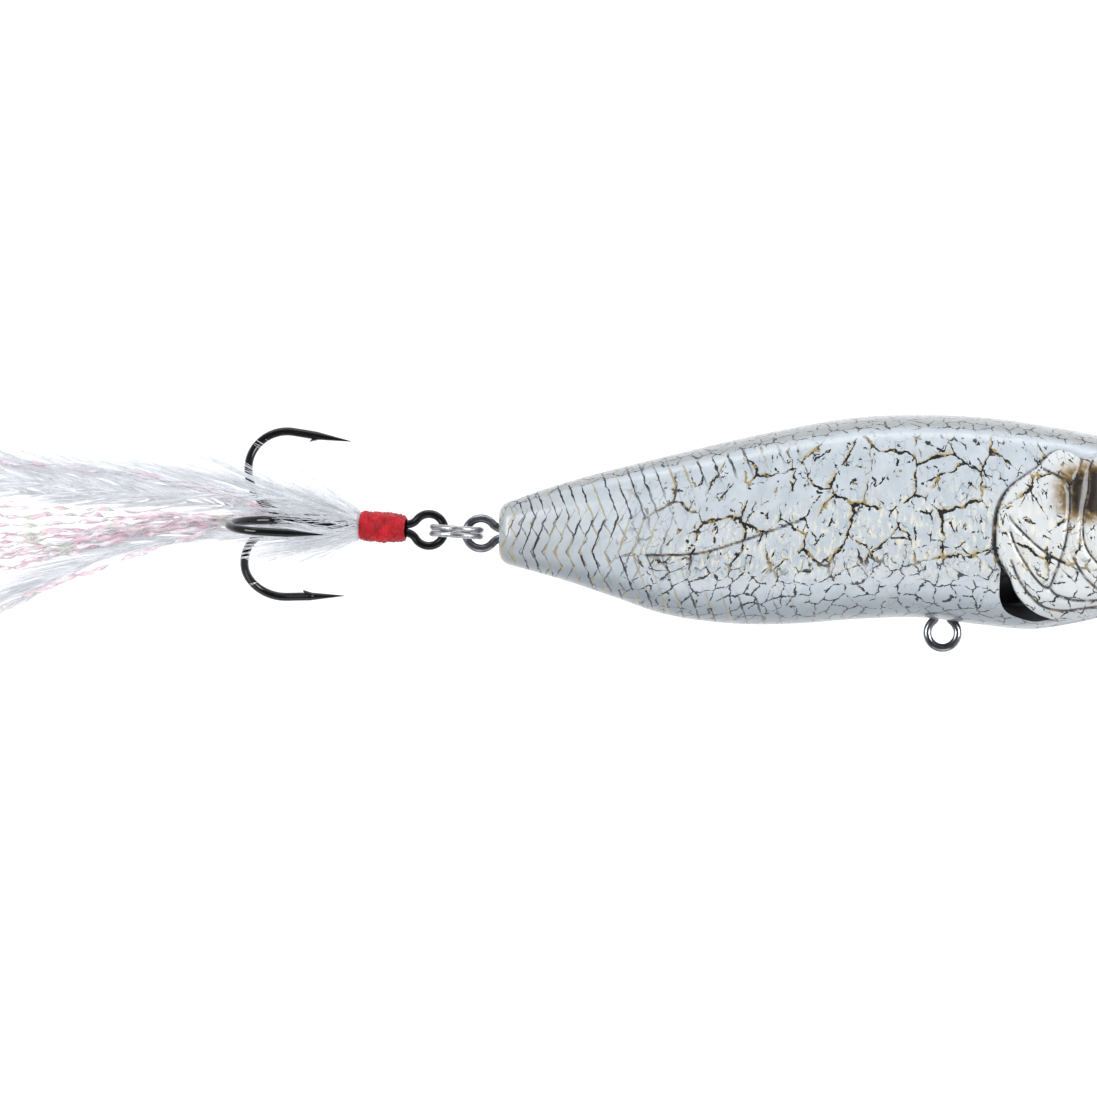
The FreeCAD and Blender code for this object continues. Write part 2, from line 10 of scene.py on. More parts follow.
import bpy
import numpy as np
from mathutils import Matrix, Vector


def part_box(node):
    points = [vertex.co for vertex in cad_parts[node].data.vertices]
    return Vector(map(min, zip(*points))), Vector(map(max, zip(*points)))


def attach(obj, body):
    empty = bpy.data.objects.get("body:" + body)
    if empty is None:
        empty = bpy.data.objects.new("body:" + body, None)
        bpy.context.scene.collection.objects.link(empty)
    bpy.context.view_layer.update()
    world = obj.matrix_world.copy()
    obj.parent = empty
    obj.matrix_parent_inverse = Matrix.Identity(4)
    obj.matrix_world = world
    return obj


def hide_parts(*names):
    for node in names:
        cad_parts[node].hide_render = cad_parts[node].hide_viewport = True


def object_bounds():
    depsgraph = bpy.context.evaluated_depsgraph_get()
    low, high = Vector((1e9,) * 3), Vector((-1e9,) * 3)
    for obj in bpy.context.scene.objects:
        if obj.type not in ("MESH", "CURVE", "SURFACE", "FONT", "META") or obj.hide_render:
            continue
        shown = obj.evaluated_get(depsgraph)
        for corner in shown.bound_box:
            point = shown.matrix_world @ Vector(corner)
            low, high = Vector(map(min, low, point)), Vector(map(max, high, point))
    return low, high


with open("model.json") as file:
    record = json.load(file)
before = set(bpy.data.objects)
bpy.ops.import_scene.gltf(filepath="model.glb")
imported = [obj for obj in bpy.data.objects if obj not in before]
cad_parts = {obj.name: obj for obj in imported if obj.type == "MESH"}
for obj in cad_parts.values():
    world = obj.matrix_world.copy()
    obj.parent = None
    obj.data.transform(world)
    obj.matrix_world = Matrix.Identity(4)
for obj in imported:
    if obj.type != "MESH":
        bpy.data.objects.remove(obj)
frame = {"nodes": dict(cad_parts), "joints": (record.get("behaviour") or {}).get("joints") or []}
cad_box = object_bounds()
MM = 0.001
random = np.random.default_rng(11)

# ---- the body's form, as the CAD lofts it
TAIL_X = -79.1  # the flat tail face
TAIL_MIDDLE = -1.35  # height of the tail face's middle
LIP_TOP = (-1.1, 7.1)  # the lip's ends in the seam plane: X, Y
LIP_BOTTOM = (-3.3, -7.0)
LIP_SLOPE = (LIP_TOP[0] - LIP_BOTTOM[0]) / (LIP_TOP[1] - LIP_BOTTOM[1])

# stations of the outline along X: X, then the back's Y, the belly's Y or half the thickness
BACK = [(-79.1, 1.5), (-73.0, 3.6), (-62.3, 6.4), (-51.0, 9.0), (-43.0, 10.3), (-36.0, 10.5),
        (-30.0, 10.2), (-22.7, 9.15), (-16.0, 7.9), (-10.0, 7.3), (-4.0, 7.1), (2.0, 7.1)]
BELLY = [(-79.1, -4.2), (-73.0, -5.9), (-67.6, -7.7), (-62.6, -9.4), (-56.0, -10.35), (-50.0, -10.4),
         (-43.0, -9.9), (-37.0, -9.75), (-31.5, -10.4), (-26.0, -10.9), (-21.5, -10.3), (-16.0, -9.0),
         (-10.0, -7.7), (-4.0, -7.1), (2.0, -7.0)]
HALF_WIDTH = [(-79.1, 2.6), (-73.0, 4.2), (-62.0, 6.9), (-51.0, 8.8), (-42.0, 9.2), (-32.0, 9.0),
              (-22.0, 8.5), (-12.0, 7.9), (-5.0, 7.6), (2.0, 7.6)]
WIDEST = 0.03  # how far above mid height a section is widest, as a share of its height
BACK_POWER = 3.4  # the section's superellipse is boxy above its widest point
BELLY_POWER = 2.15  # and nearly round below it
TAIL_ROUND = 1.0  # edge radii
LIP_ROUND = 0.7
CUP_CENTRE = -2.2  # X of the cupped mouth's ellipsoid
CUP_SIZE = (7.2, 6.0, 6.4)  # its half axes

# ---- raised and engraved lines on the flank: X, Y
PLATE_EDGE = [(-8.0, 6.2), (-14.0, 6.5), (-19.3, 6.3), (-21.2, 6.1), (-22.2, 6.7), (-23.3, 7.0),
              (-24.3, 6.6), (-25.4, 5.4), (-26.8, 4.4), (-28.2, 3.3), (-29.0, 2.1), (-29.5, 0.5),
              (-29.7, -1.2), (-29.6, -2.9), (-29.3, -4.0), (-28.9, -4.7), (-28.4, -5.6), (-27.8, -7.1),
              (-26.8, -8.4), (-25.4, -9.4), (-23.7, -9.9), (-21.9, -9.8), (-19.3, -9.2), (-14.0, -7.9),
              (-8.0, -7.0)]
CHEEK = [(-25.0, 5.0), (-23.7, 4.4), (-22.7, 3.7), (-22.4, 1.6), (-22.5, 0.2), (-22.9, -2.6), (-24.4, -6.8)]
CHEEK_TOP = [(-21.2, 5.9), (-21.3, 5.4), (-21.9, 4.0), (-22.4, 3.3)]
JAW = [(-20.1, 5.8), (-20.5, 4.8), (-20.6, 3.0), (-21.0, 1.0), (-21.1, -0.9), (-20.9, -2.4), (-20.2, -3.6),
       (-18.6, -5.0), (-15.5, -6.0), (-11.0, -6.2)]
GILL_RAYS = [[(-28.4, 0.3), (-27.8, -0.5), (-26.5, -1.8), (-25.1, -3.0), (-23.7, -3.9)],
             [(-28.3, -1.2), (-27.8, -2.6), (-26.8, -4.3), (-25.9, -5.6), (-24.8, -6.6), (-24.3, -6.7)],
             [(-28.2, -4.0), (-27.5, -5.7), (-26.2, -7.5), (-25.0, -8.5), (-23.1, -8.9), (-21.2, -8.7),
              (-16.0, -7.9)],
             [(-24.3, -6.8), (-23.7, -7.3), (-22.3, -7.8), (-20.5, -7.9), (-16.5, -7.3)],
             [(-22.0, -3.8), (-21.3, -5.0), (-20.5, -6.0), (-19.3, -7.0)]]
LATERAL = [(-64.5, -3.5), (-61.8, -3.5), (-59.0, -3.3), (-55.5, -2.3), (-51.5, -0.9), (-49.0, 0.0)]
VENT = [(-29.2, -4.6), (-28.4, -5.6), (-27.8, -7.1), (-26.8, -8.4), (-25.4, -9.4), (-23.9, -10.0),
        (-25.6, -10.15), (-27.2, -9.8), (-28.6, -9.1), (-29.2, -8.0), (-29.3, -6.2)]
PLATE_RISE = 0.22  # how far the gill plate stands out
STEP_DOWN = 0.32  # how far the flank falls away behind its edge
VENT_FLOOR = 3.0  # Z at which the vent's cut ends inside
OUTSIDE_Z = 12.0  # Z clear of the flank, where cuts begin

# ---- the duct from the mouth towards the gill vent
DUCT_FROM = (-6.5, -1.5, 3.9)
DUCT_TO = (-30.5, -7.5, 5.4)
DUCT_WAY = 1.95  # radius
DUCT_SHARE = 0.79  # how much of it is cut into the skin: further on it comes too near the flank

# ---- how finely the skin is meshed
COLUMNS = 202  # points round half a section, from the back to the belly
COARSE_END = -33.0  # rows are wider apart from the tail to here
FINE_FROM = -32.88  # and close from here to the head, to carry the gill plate
HEAD_X = -9.0  # from here the rows lean towards the lip's tilted plane
COARSE_ROWS, FINE_ROWS, HEAD_ROWS = 162, 198, 40

# ---- the studio
FLOOR_DROP = 90.0  # from the lure's lowest side down to the floor
# how bright the sky is from the horizon to straight overhead, where the camera is
SKY = {"From Min": 0.0, "From Max": 0.9, "To Min": 0.95, "To Max": 0.22}


# ---- small helpers
def along(line, x):
    """The smooth line through stations of (X, value), at X."""
    xs, ys = (np.array([p[k] for p in line]) for k in (0, 1))
    steps = np.diff(ys) / np.diff(xs)
    slopes = np.concatenate([steps[:1], (steps[:-1] + steps[1:]) / 2, steps[-1:]])
    i = np.clip(np.searchsorted(xs, x, "right") - 1, 0, len(xs) - 2)
    h = xs[i + 1] - xs[i]
    t = (x - xs[i]) / h
    return ((1 + 2 * t) * (1 - t) ** 2 * ys[i] + t * (1 - t) ** 2 * h * slopes[i]
            + t * t * (3 - 2 * t) * ys[i + 1] + t * t * (t - 1) * h * slopes[i + 1])


def curve_through(points, count):
    """count points along a smooth curve through the given ones, spaced evenly along them."""
    points = np.array(points, float)
    gone = np.concatenate([[0], np.cumsum(np.linalg.norm(np.diff(points, axis=0), axis=1))])
    t = np.linspace(0, gone[-1], count)
    return np.stack([along(list(zip(gone, points[:, k])), t) for k in range(points.shape[1])], axis=1)


def unit(vectors):
    return vectors / np.linalg.norm(vectors, axis=-1, keepdims=True)


def smoothstep(low, high, value):
    """0 up to low, 1 from high on, and a smooth rise between them."""
    t = np.clip((value - low) / (high - low), 0, 1)
    return t * t * (3 - 2 * t)


def wobble(values, seed, octaves=3):
    """Smooth noise of one number, about -1 to 1."""
    phases = np.random.default_rng(seed).uniform(0, 2 * math.pi, (octaves, 2))
    return sum(np.sin(values * 1.9 ** k + phases[k, 0]) * np.sin(values * 0.73 * 1.9 ** k + phases[k, 1])
               for k in range(octaves)) / octaves ** 0.5


def make_piece(name, points, faces, body, materials, sharp_deg=None, face_material=None):
    """A mesh piece from points in millimetres, riding on a CAD body."""
    mesh = bpy.data.meshes.new(name)
    mesh.from_pydata((np.asarray(points) * MM).tolist(), [], faces)
    mesh.validate()
    mesh.shade_smooth()
    if sharp_deg:
        mesh.set_sharp_from_angle(angle=math.radians(sharp_deg))
    for material in materials:
        mesh.materials.append(material)
    if face_material is not None:
        mesh.polygons.foreach_set("material_index", face_material)
    obj = bpy.data.objects.new(name, mesh)
    bpy.context.scene.collection.objects.link(obj)
    if body:
        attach(obj, body)
    return obj


def grid_faces(rows, columns, closed=False):
    """The quads of a grid of points stored row by row. A closed grid joins its last column to its first."""
    r, c = np.meshgrid(np.arange(rows - 1), np.arange(columns if closed else columns - 1), indexing="ij")
    right = (c + 1) % columns
    corners = [r * columns + c, (r + 1) * columns + c, (r + 1) * columns + right, r * columns + right]
    return np.stack(corners, axis=-1).reshape(-1, 4).tolist()


def prism_faces(corners, flipped):
    """The two ends and the sides of a prism whose points are its lower corners, then its upper ones."""
    faces = [list(range(corners)), list(range(2 * corners - 1, corners - 1, -1))]
    for k in range(corners):
        right = (k + 1) % corners
        faces.append([k, k + corners, right + corners, right])
    return [face[::-1] for face in faces] if flipped else faces


# ---- shader helpers
def rgb(r, g, b):
    """A linear colour from the eight-bit one that is seen."""
    linear = [((v / 255 + 0.055) / 1.055) ** 2.4 if v > 10 else v / 255 / 12.92 for v in (r, g, b)]
    return (*linear, 1.0)


class Shader:
    """A material under construction. Its methods add nodes and return their output sockets."""

    def __init__(self, name, **settings):
        self.material = bpy.data.materials.new(name)
        self.material.use_nodes = True
        self.tree = self.material.node_tree
        self.bsdf = self.tree.nodes["Principled BSDF"]
        self.set(**settings)

    def set(self, **settings):
        """Sets the Principled shader's sockets, from a number, a colour or a socket."""
        for key, value in settings.items():
            self.feed(self.bsdf.inputs[key.replace("_", " ")], value)

    def feed(self, socket, value):
        if isinstance(value, bpy.types.NodeSocket):
            self.tree.links.new(value, socket)
        elif value is not None:
            socket.default_value = value

    def add(self, kind, inputs, output=0, **settings):
        node = self.tree.nodes.new(kind)
        for key, value in settings.items():
            setattr(node, key, value)
        for key, value in inputs.items():
            self.feed(node.inputs[key], value)
        return node.outputs[output]

    def place(self, scale=(1000.0, 1000.0, 1000.0), offset=(0.0, 0.0, 0.0)):
        """The object's own coordinates in millimetres, stretched by scale / 1000."""
        where = self.add("ShaderNodeTexCoord", {}, "Object")
        return self.add("ShaderNodeMapping", {0: where, 1: offset, 3: scale})

    def math(self, operation, a, b=None, c=None):
        return self.add("ShaderNodeMath", {0: a, 1: b, 2: c}, operation=operation)

    def times(self, a, b):
        return self.math("MULTIPLY", a, b)

    def largest(self, first, *others):
        for other in others:
            first = self.math("MAXIMUM", first, other)
        return first

    def xyz(self, where):
        return [self.add("ShaderNodeSeparateXYZ", {0: where}, axis) for axis in range(3)]

    def noise(self, where, scale, detail=2.0, rough=0.5, colour=False):
        inputs = {"Vector": where, "Scale": scale, "Detail": detail, "Roughness": rough}
        return self.add("ShaderNodeTexNoise", inputs, 1 if colour else 0)

    def shaken(self, where, scale, amount, detail=2.0):
        """Coordinates moved about by noise."""
        shift = self.add("ShaderNodeVectorMath", {0: self.noise(where, scale, detail, colour=True),
                                                  1: (0.5, 0.5, 0.5)}, operation="SUBTRACT")
        shift = self.add("ShaderNodeVectorMath", {0: shift, "Scale": amount}, operation="SCALE")
        return self.add("ShaderNodeVectorMath", {0: where, 1: shift}, operation="ADD")

    def remap(self, value, low, high, to_low=0.0, to_high=1.0):
        return self.add("ShaderNodeMapRange", {0: value, 1: low, 2: high, 3: to_low, 4: to_high},
                        interpolation_type="SMOOTHSTEP")

    def mix(self, share, a, b):
        return self.add("ShaderNodeMix", {0: share, 6: a, 7: b}, 2, data_type="RGBA")

    def attribute(self, name):
        return self.add("ShaderNodeAttribute", {}, "Fac", attribute_name=name)

    def layered(self, under, layers):
        """One colour over another. layers are pairs of how much shows and its colour."""
        for share, colour in layers:
            under = self.mix(share, under, colour)
        return under

    def bump(self, height, strength, distance_mm):
        inputs = {"Height": height, "Strength": strength, "Distance": distance_mm * MM}
        return self.add("ShaderNodeBump", inputs)

    def cracks(self, where, cell, width, presence, low, high, squash=(1, 1, 1)):
        """Lines between random cells, width wide at most, that thin out and end as presence falls."""
        where = self.add("ShaderNodeVectorMath", {0: where, 1: squash}, operation="MULTIPLY")
        edge = self.add("ShaderNodeTexVoronoi", {"Vector": where, "Scale": 1 / cell}, "Distance",
                        feature="DISTANCE_TO_EDGE", voronoi_dimensions="2D")
        edge = self.times(edge, cell)
        half = self.remap(presence, low, high, 0.0, width / 2)
        inside = self.math("SUBTRACT", half, edge)
        return self.remap(inside, 0.0, 0.03)


# ---- materials
LARGE_CELL = 4.7  # mm across a large crackle cell
LARGE_SQUASH = (1.1, 0.9, 1.0)


class BodyPaint(Shader):
    """The body's material, with what each layer of paint needs to know about a place on the skin."""

    def __init__(self):
        super().__init__("crackle_paint")
        self.skin_at = self.add("ShaderNodeAttribute", {}, "Vector", attribute_name="unrolled")
        self.x, self.y, _ = self.xyz(self.place())
        self.from_back, self.from_belly = self.attribute("from_back"), self.attribute("from_belly")
        self.outside = self.math("SUBTRACT", 1.0, self.attribute("mouth"))
        self.flank = self.times(self.remap(self.from_belly, 3.5, 6.5), self.remap(self.from_back, 1.6, 2.6))
        self.off_ridge = self.math("DIVIDE", self.from_back, self.remap(self.x, -78.0, -46.0, 0.5, 1.0))
        self.mottle = self.noise_at(0.0, 0.5, 4.0)
        self.tone = self.noise_at(9.0, 0.85)

    def noise_at(self, offset, scale, detail=2.0):
        """Noise on the unrolled skin, another one for each offset."""
        moved = self.add("ShaderNodeVectorMath", {0: self.skin_at, 1: (offset, offset / 2, 0.0)},
                         operation="ADD")
        return self.noise(moved, scale, detail, 0.6)


def base_coat(s):
    """Pearl grey with ivory flecks on the flank, a pale gill plate and a darker tail, with a darker belly
    edge that is partly the paint's own tone and partly painted shade, and painted shade on the back band
    above the ridge.
    """
    coat = s.mix(s.remap(s.mottle, 0.3, 0.75), rgb(165, 174, 182), rgb(182, 189, 195))
    mid_flank = s.times(s.remap(s.from_back, 6.0, 10.0), s.remap(s.from_belly, 3.0, 6.0))
    stretched = s.add("ShaderNodeVectorMath", {0: s.skin_at, 1: (1.5, 0.6, 1.0)}, operation="MULTIPLY")
    ivory = s.times(s.remap(s.noise(stretched, 1.5, 4.0, 0.65), 0.49, 0.62), mid_flank)
    plate = s.largest(s.attribute("on_plate"), s.remap(s.x, -12.0, -5.0))
    return s.layered(coat, [
        (s.times(ivory, 0.75), rgb(212, 207, 188)),
        # partly the paint's own darker tone, partly painted shade: blue-grey towards the belly edge
        (s.times(s.remap(s.from_belly, 3.4, 0.2), 0.8), rgb(96, 110, 120)),
        # painted shade: grey over the back band above the ridge, where the section turns away
        (s.times(s.remap(s.off_ridge, 1.6, 1.0), 0.7), rgb(122, 124, 122)),
        (s.times(plate, 0.5), rgb(212, 212, 209)),
        (s.remap(s.x, -66.0, -78.0, 0.0, 0.6), rgb(152, 157, 160)),
    ])


def crackle(s):
    """Where the paint shows dark cracks, hairlines and a straw fringe beside the large cracks.

    The cells are large and open on the flank, and small low down and on the back.
    """
    ragged = s.shaken(s.shaken(s.shaken(s.skin_at, 0.30, 2.4), 1.5, 0.6, 2.0), 5.0, 0.34, 3.0)
    off_tail = s.times(s.remap(s.x, -69.0, -60.0), s.outside)
    gaps, fine_gaps = s.noise_at(31.0, 0.42), s.noise_at(77.0, 0.9)
    large = s.cracks(ragged, LARGE_CELL, 0.32, gaps, 0.34, 0.58, LARGE_SQUASH)
    medium = s.cracks(ragged, 2.6, 0.26, fine_gaps, 0.45, 0.62, (1.25, 0.8, 1.0))
    ticks = s.cracks(ragged, 1.6, 0.17, fine_gaps, 0.50, 0.66, (1.5, 0.7, 1.0))
    open_cells = s.times(s.largest(large, medium, ticks), s.times(off_tail, s.flank))
    low_down = s.times(s.remap(s.from_belly, 7.0, 5.0), s.remap(s.x, -70.0, -64.0))
    small = s.times(s.cracks(ragged, 1.7, 0.22, fine_gaps, 0.34, 0.58), low_down)
    on_back = s.times(s.cracks(ragged, 1.2, 0.17, fine_gaps, 0.30, 0.58, (0.8, 1.2, 1.0)),
                      s.remap(s.off_ridge, 1.7, 1.3))
    dark = s.times(s.largest(open_cells, small, on_back), s.outside)
    hair_at = s.shaken(s.skin_at, 2.4, 0.5, 3.0)
    hair = s.times(s.cracks(hair_at, 1.05, 0.12, gaps, 0.44, 0.66, (1.3, 0.7, 1.0)), s.outside)
    beside = s.add("ShaderNodeVectorMath", {0: ragged, 1: (0.13, 0.12, 0.0)}, operation="ADD")
    fringe = s.cracks(beside, LARGE_CELL, 0.28, gaps, 0.34, 0.56, LARGE_SQUASH)
    fringe = s.times(s.times(fringe, off_tail), s.times(s.flank, 0.75))
    return dark, hair, fringe


def scale_lines(s):
    """The tail's scale lines and the finer net below them, each with the chance that colours its stretches.

    Both are zigzag columns that are closest at the tail, and each stretch is present or not.
    """
    jx, jy, _ = s.xyz(s.shaken(s.place(), 1.3, 0.42, 3.0))
    from_tail = s.math("SUBTRACT", jx, TAIL_X - 0.8)
    below_ridge = s.times(s.remap(s.from_back, 4.6, 2.4), s.remap(s.from_back, 1.0, 1.6))
    near_edge = s.largest(below_ridge, s.remap(s.from_belly, 3.6, 1.8))
    reach = s.largest(s.remap(s.x, -58.0, -68.0), s.times(near_edge, s.remap(s.x, -46.0, -57.0)))
    thick = s.remap(s.noise_at(5.0, 0.8), 0.28, 0.60, 0.03, 0.10)

    def columns(zigzag, period, lean, shift):
        leant = s.math("MULTIPLY_ADD", zigzag, -lean, s.math("ADD", from_tail, shift))
        column = s.math("DIVIDE", leant, s.math("MULTIPLY_ADD", leant, 0.012, 1.0))
        whole = s.math("ROUND", column)
        nearest = s.math("ABSOLUTE", s.math("SUBTRACT", column, whole))
        row = s.math("FLOOR", s.math("DIVIDE", jy, period / 2))
        cell = s.add("ShaderNodeCombineXYZ", {0: whole, 1: row, 2: shift})
        chance = s.add("ShaderNodeTexWhiteNoise", {"Vector": cell}, 0, noise_dimensions="3D")
        line = s.remap(s.math("SUBTRACT", thick, nearest), 0.0, 0.03)
        return s.times(line, s.times(reach, s.remap(chance, 0.99, 0.90))), chance

    bent = s.math("MINIMUM", s.math("ABSOLUTE", s.math("ADD", jy, 3.2)), s.math("SUBTRACT", 3.8, jy))
    scales, scale_chance = columns(bent, 3.5, 0.38, 0.0)
    net, net_chance = columns(s.math("PINGPONG", s.math("ADD", jy, 32.6), 1.4), 1.4, -0.62, 0.5)
    net = s.times(net, s.times(s.remap(s.y, 1.8, 0.2), s.remap(s.x, -58.0, -70.0)))
    return scales, scale_chance, net, net_chance


def smoky_patch(s):
    """How much of the smoky gold patch shows across the top of the gill plate."""
    off_middle = s.math("ABSOLUTE", s.math("SUBTRACT", s.y, 2.7))
    patch = s.times(s.remap(off_middle, 4.2, 0.6),
                    s.times(s.remap(s.x, -25.8, -20.0), s.remap(s.x, -8.0, -15.0)))
    return s.times(patch, s.remap(s.noise_at(3.0, 1.1, 5.0), 0.25, 0.6, 0.5, 1.0))


def painted_body():
    """Pale pearl paint that has crackled over black and gold, with scale lines, under a clear coat."""
    s = BodyPaint()
    dark, hair, fringe = crackle(s)
    scales, scale_chance, net, net_chance = scale_lines(s)
    patch = smoky_patch(s)
    # groove: black paint in the grooves and the lateral line, and painted shade in the undercut behind the
    # gill plate's edge
    groove = s.attribute("groove")
    broken = s.times(groove, s.remap(s.noise_at(41.0, 1.2, 3.0), 0.30, 0.48, 0.5, 1.0))

    straw = rgb(142, 124, 80)
    crack_straw = s.times(s.remap(s.tone, 0.54, 0.60), s.flank)
    groove_gold = s.times(s.remap(s.tone, 0.5, 0.6), 0.6)
    colour = s.layered(base_coat(s), [
        (s.times(hair, s.remap(s.x, -70.0, -60.0, 0.1, 0.5)), rgb(92, 102, 112)),
        (fringe, rgb(168, 154, 116)),
        (dark, s.mix(crack_straw, rgb(16, 16, 19), straw)),
        (s.times(net, 0.8), s.mix(s.remap(net_chance, 0.5, 0.6), rgb(46, 50, 58), straw)),
        (scales, s.mix(s.remap(scale_chance, 0.55, 0.62), rgb(28, 30, 36), rgb(150, 140, 110))),
        (s.remap(patch, 0.03, 0.45), s.mix(s.remap(patch, 0.26, 0.66), rgb(128, 104, 64), rgb(30, 18, 5))),
        # painted shade behind the gill plate's edge, with the grooves' black paint and gold
        (broken, s.mix(groove_gold, rgb(20, 19, 21), rgb(120, 100, 62))),
    ])
    lines = s.largest(dark, s.largest(scales, groove))
    relief = s.math("SUBTRACT", s.times(s.mottle, 0.3), lines)
    s.set(Base_Color=colour, Roughness=s.remap(s.mottle, 0.2, 0.8, 0.30, 0.45), Coat_Weight=0.6,
          Coat_Roughness=0.14, Coat_IOR=1.5, Specular_IOR_Level=0.4, Normal=s.bump(relief, 0.6, 0.04))
    return s.material


def black_plastic_and_painted_shade():
    """The dark walls of the vent, the ducts and the eye socket: the black plastic of the duct inserts, and
    painted shade for the depth of the cut hollows.
    """
    s = Shader("vent_black_and_painted_shade", Specular_IOR_Level=0.35)
    speck = s.noise(s.place(), 2.5, 3.0)
    s.set(Base_Color=s.mix(speck, rgb(22, 22, 25), rgb(44, 44, 48)),
          Roughness=s.remap(speck, 0.2, 0.8, 0.4, 0.6))
    return s.material


def metal(name, dark, light, rough, scratch=0.25):
    """Polished or plated wire: drawn lines, small stains and a fine unevenness."""
    s = Shader(name, Metallic=1.0, Specular_IOR_Level=0.5)
    drawn = s.noise(s.place((900.0, 7000.0, 7000.0)), 1.4, 3.0, 0.6)
    stain = s.noise(s.place(), 0.9, 3.0, 0.6)
    s.set(Base_Color=s.mix(s.remap(stain, 0.3, 0.7), dark, light),
          Roughness=s.remap(drawn, 0.25, 0.8, rough * 0.7, rough * 1.5),
          Normal=s.bump(drawn, scratch, 0.01))
    return s.material


def black_nickel():
    """Glossy black plating: a dark mirror under a thin clear film."""
    s = Shader("black_nickel", Metallic=0.85, Specular_IOR_Level=0.6, Coat_Weight=0.6, Coat_Roughness=0.05)
    worn = s.noise(s.place(), 2.0, 3.0, 0.6)
    s.set(Base_Color=s.mix(s.remap(worn, 0.35, 0.75), rgb(9, 9, 11), rgb(24, 24, 28)),
          Roughness=s.remap(worn, 0.3, 0.8, 0.10, 0.2), Normal=s.bump(worn, 0.12, 0.01))
    return s.material


def red_thread():
    """Red tying thread soaked in glossy varnish."""
    s = Shader("varnished_thread", Coat_Weight=0.35, Coat_Roughness=0.1, Specular_IOR_Level=0.1)
    fibre = s.noise(s.place((1500.0, 5200.0, 5200.0)), 1.6, 3.0, 0.7)
    blotch = s.noise(s.place(), 0.9, 3.0, 0.6)
    wound = s.mix(s.remap(blotch, 0.3, 0.7), rgb(136, 2, 14), rgb(188, 4, 28))
    wound = s.mix(s.times(s.remap(fibre, 0.55, 0.75), 0.2), wound, rgb(206, 36, 54))
    lumps = s.noise(s.place(), 2.6, 5.0, 0.7)
    uneven = s.bump(s.math("ADD", fibre, lumps), 0.8, 0.11)
    s.set(Base_Color=wound, Roughness=0.5, Normal=uneven, Coat_Normal=uneven)
    return s.material


def feather_white_painted_light():
    """Bleached hackle: soft white, with painted shade in cool lilac on strands picked at random, standing in
    for where barbs lie over each other, and a faint painted glow for light that shines through.
    """
    # painted glow: a faint white emission lifts the barbs' shade, for light that shines through them
    s = Shader("white_hackle_painted_light", Specular_IOR_Level=0.2, Sheen_Weight=0.3, Transmission_Weight=0.55, IOR=1.15,
               Emission_Color=(0.95, 0.97, 1.0, 1.0), Emission_Strength=0.07)
    tone = s.noise(s.place((400.0, 1600.0, 1200.0)), 1.1, 3.0, 0.6)
    # painted shade: lilac-grey on strands picked at random, standing in for where barbs lie over each other
    barb = s.mix(s.attribute("tone"), rgb(198, 202, 213), rgb(255, 255, 255))
    s.set(Base_Color=s.mix(s.remap(tone, 0.35, 0.68), barb, rgb(242, 243, 247)), Roughness=0.7)
    return s.material


def pearl_tinsel():
    """Crinkled pearl film that flashes pink, with some green, and a faint painted glow that lifts the shade
    where strands lie over each other.
    """
    # painted glow: a faint pink-white emission that lifts the shade between strands
    s = Shader("pearl_tinsel", Transmission_Weight=0.45, IOR=1.2, Coat_Weight=0.4, Coat_Roughness=0.12,
               Emission_Color=(1.0, 0.93, 0.96, 1.0), Emission_Strength=0.04)
    flash = s.noise(s.place((900.0, 2600.0, 2600.0)), 0.8, 2.0)
    green = s.noise(s.place(offset=(5.0, 9.0, 2.0)), 0.5, 2.0)
    colour = s.mix(s.remap(flash, 0.40, 0.60), rgb(240, 235, 239), rgb(229, 200, 212))
    colour = s.mix(s.times(s.remap(green, 0.56, 0.68), 0.8), colour, rgb(206, 220, 204))
    s.set(Base_Color=colour, Roughness=s.remap(flash, 0.2, 0.8, 0.25, 0.45))
    return s.material


def eye_print_painted_glow():
    """Gold iris with fine rays round a black pupil, and a painted glow: the print shines faintly, standing in
    for the light that comes through the clear dome onto it.
    """
    # painted glow: the print's own colour shines at a low strength, in place of light through the dome
    s = Shader("eye_print_painted_glow", Metallic=0.3, Emission_Strength=0.3)
    x, y, _ = s.xyz(s.place())
    centre = [(a + b) / 2 / MM for a, b in zip(*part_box("eye_iris_right"))]
    dx, dy = s.math("SUBTRACT", x, centre[0]), s.math("SUBTRACT", y, centre[1])
    out = s.math("SQRT", s.math("ADD", s.times(dx, dx), s.times(dy, dy)))
    turn = s.math("ARCTAN2", dy, dx)
    around = s.add("ShaderNodeCombineXYZ", {0: s.times(turn, 7.0), 1: s.times(out, 0.6), 2: 0.0})
    ray = s.noise(around, 1.5, 3.0, 0.7)
    iris = s.mix(s.remap(ray, 0.3, 0.7), rgb(188, 142, 40), rgb(242, 210, 120))
    iris = s.mix(s.remap(out, 2.0, 2.7), iris, rgb(120, 70, 20))
    printed = s.mix(s.remap(out, 1.16, 1.08), iris, rgb(6, 6, 7))
    s.set(Base_Color=printed, Emission_Color=printed, Roughness=s.remap(ray, 0.2, 0.8, 0.45, 0.6))
    return s.material


def clear_dome():
    """Clear acrylic over the printed iris."""
    s = Shader("clear_dome", Base_Color=(1.0, 1.0, 1.0, 1.0), Transmission_Weight=1.0, IOR=1.49)
    s.set(Roughness=s.remap(s.noise(s.place(), 0.6, 3.0), 0.3, 0.8, 0.0, 0.04))
    return s.material


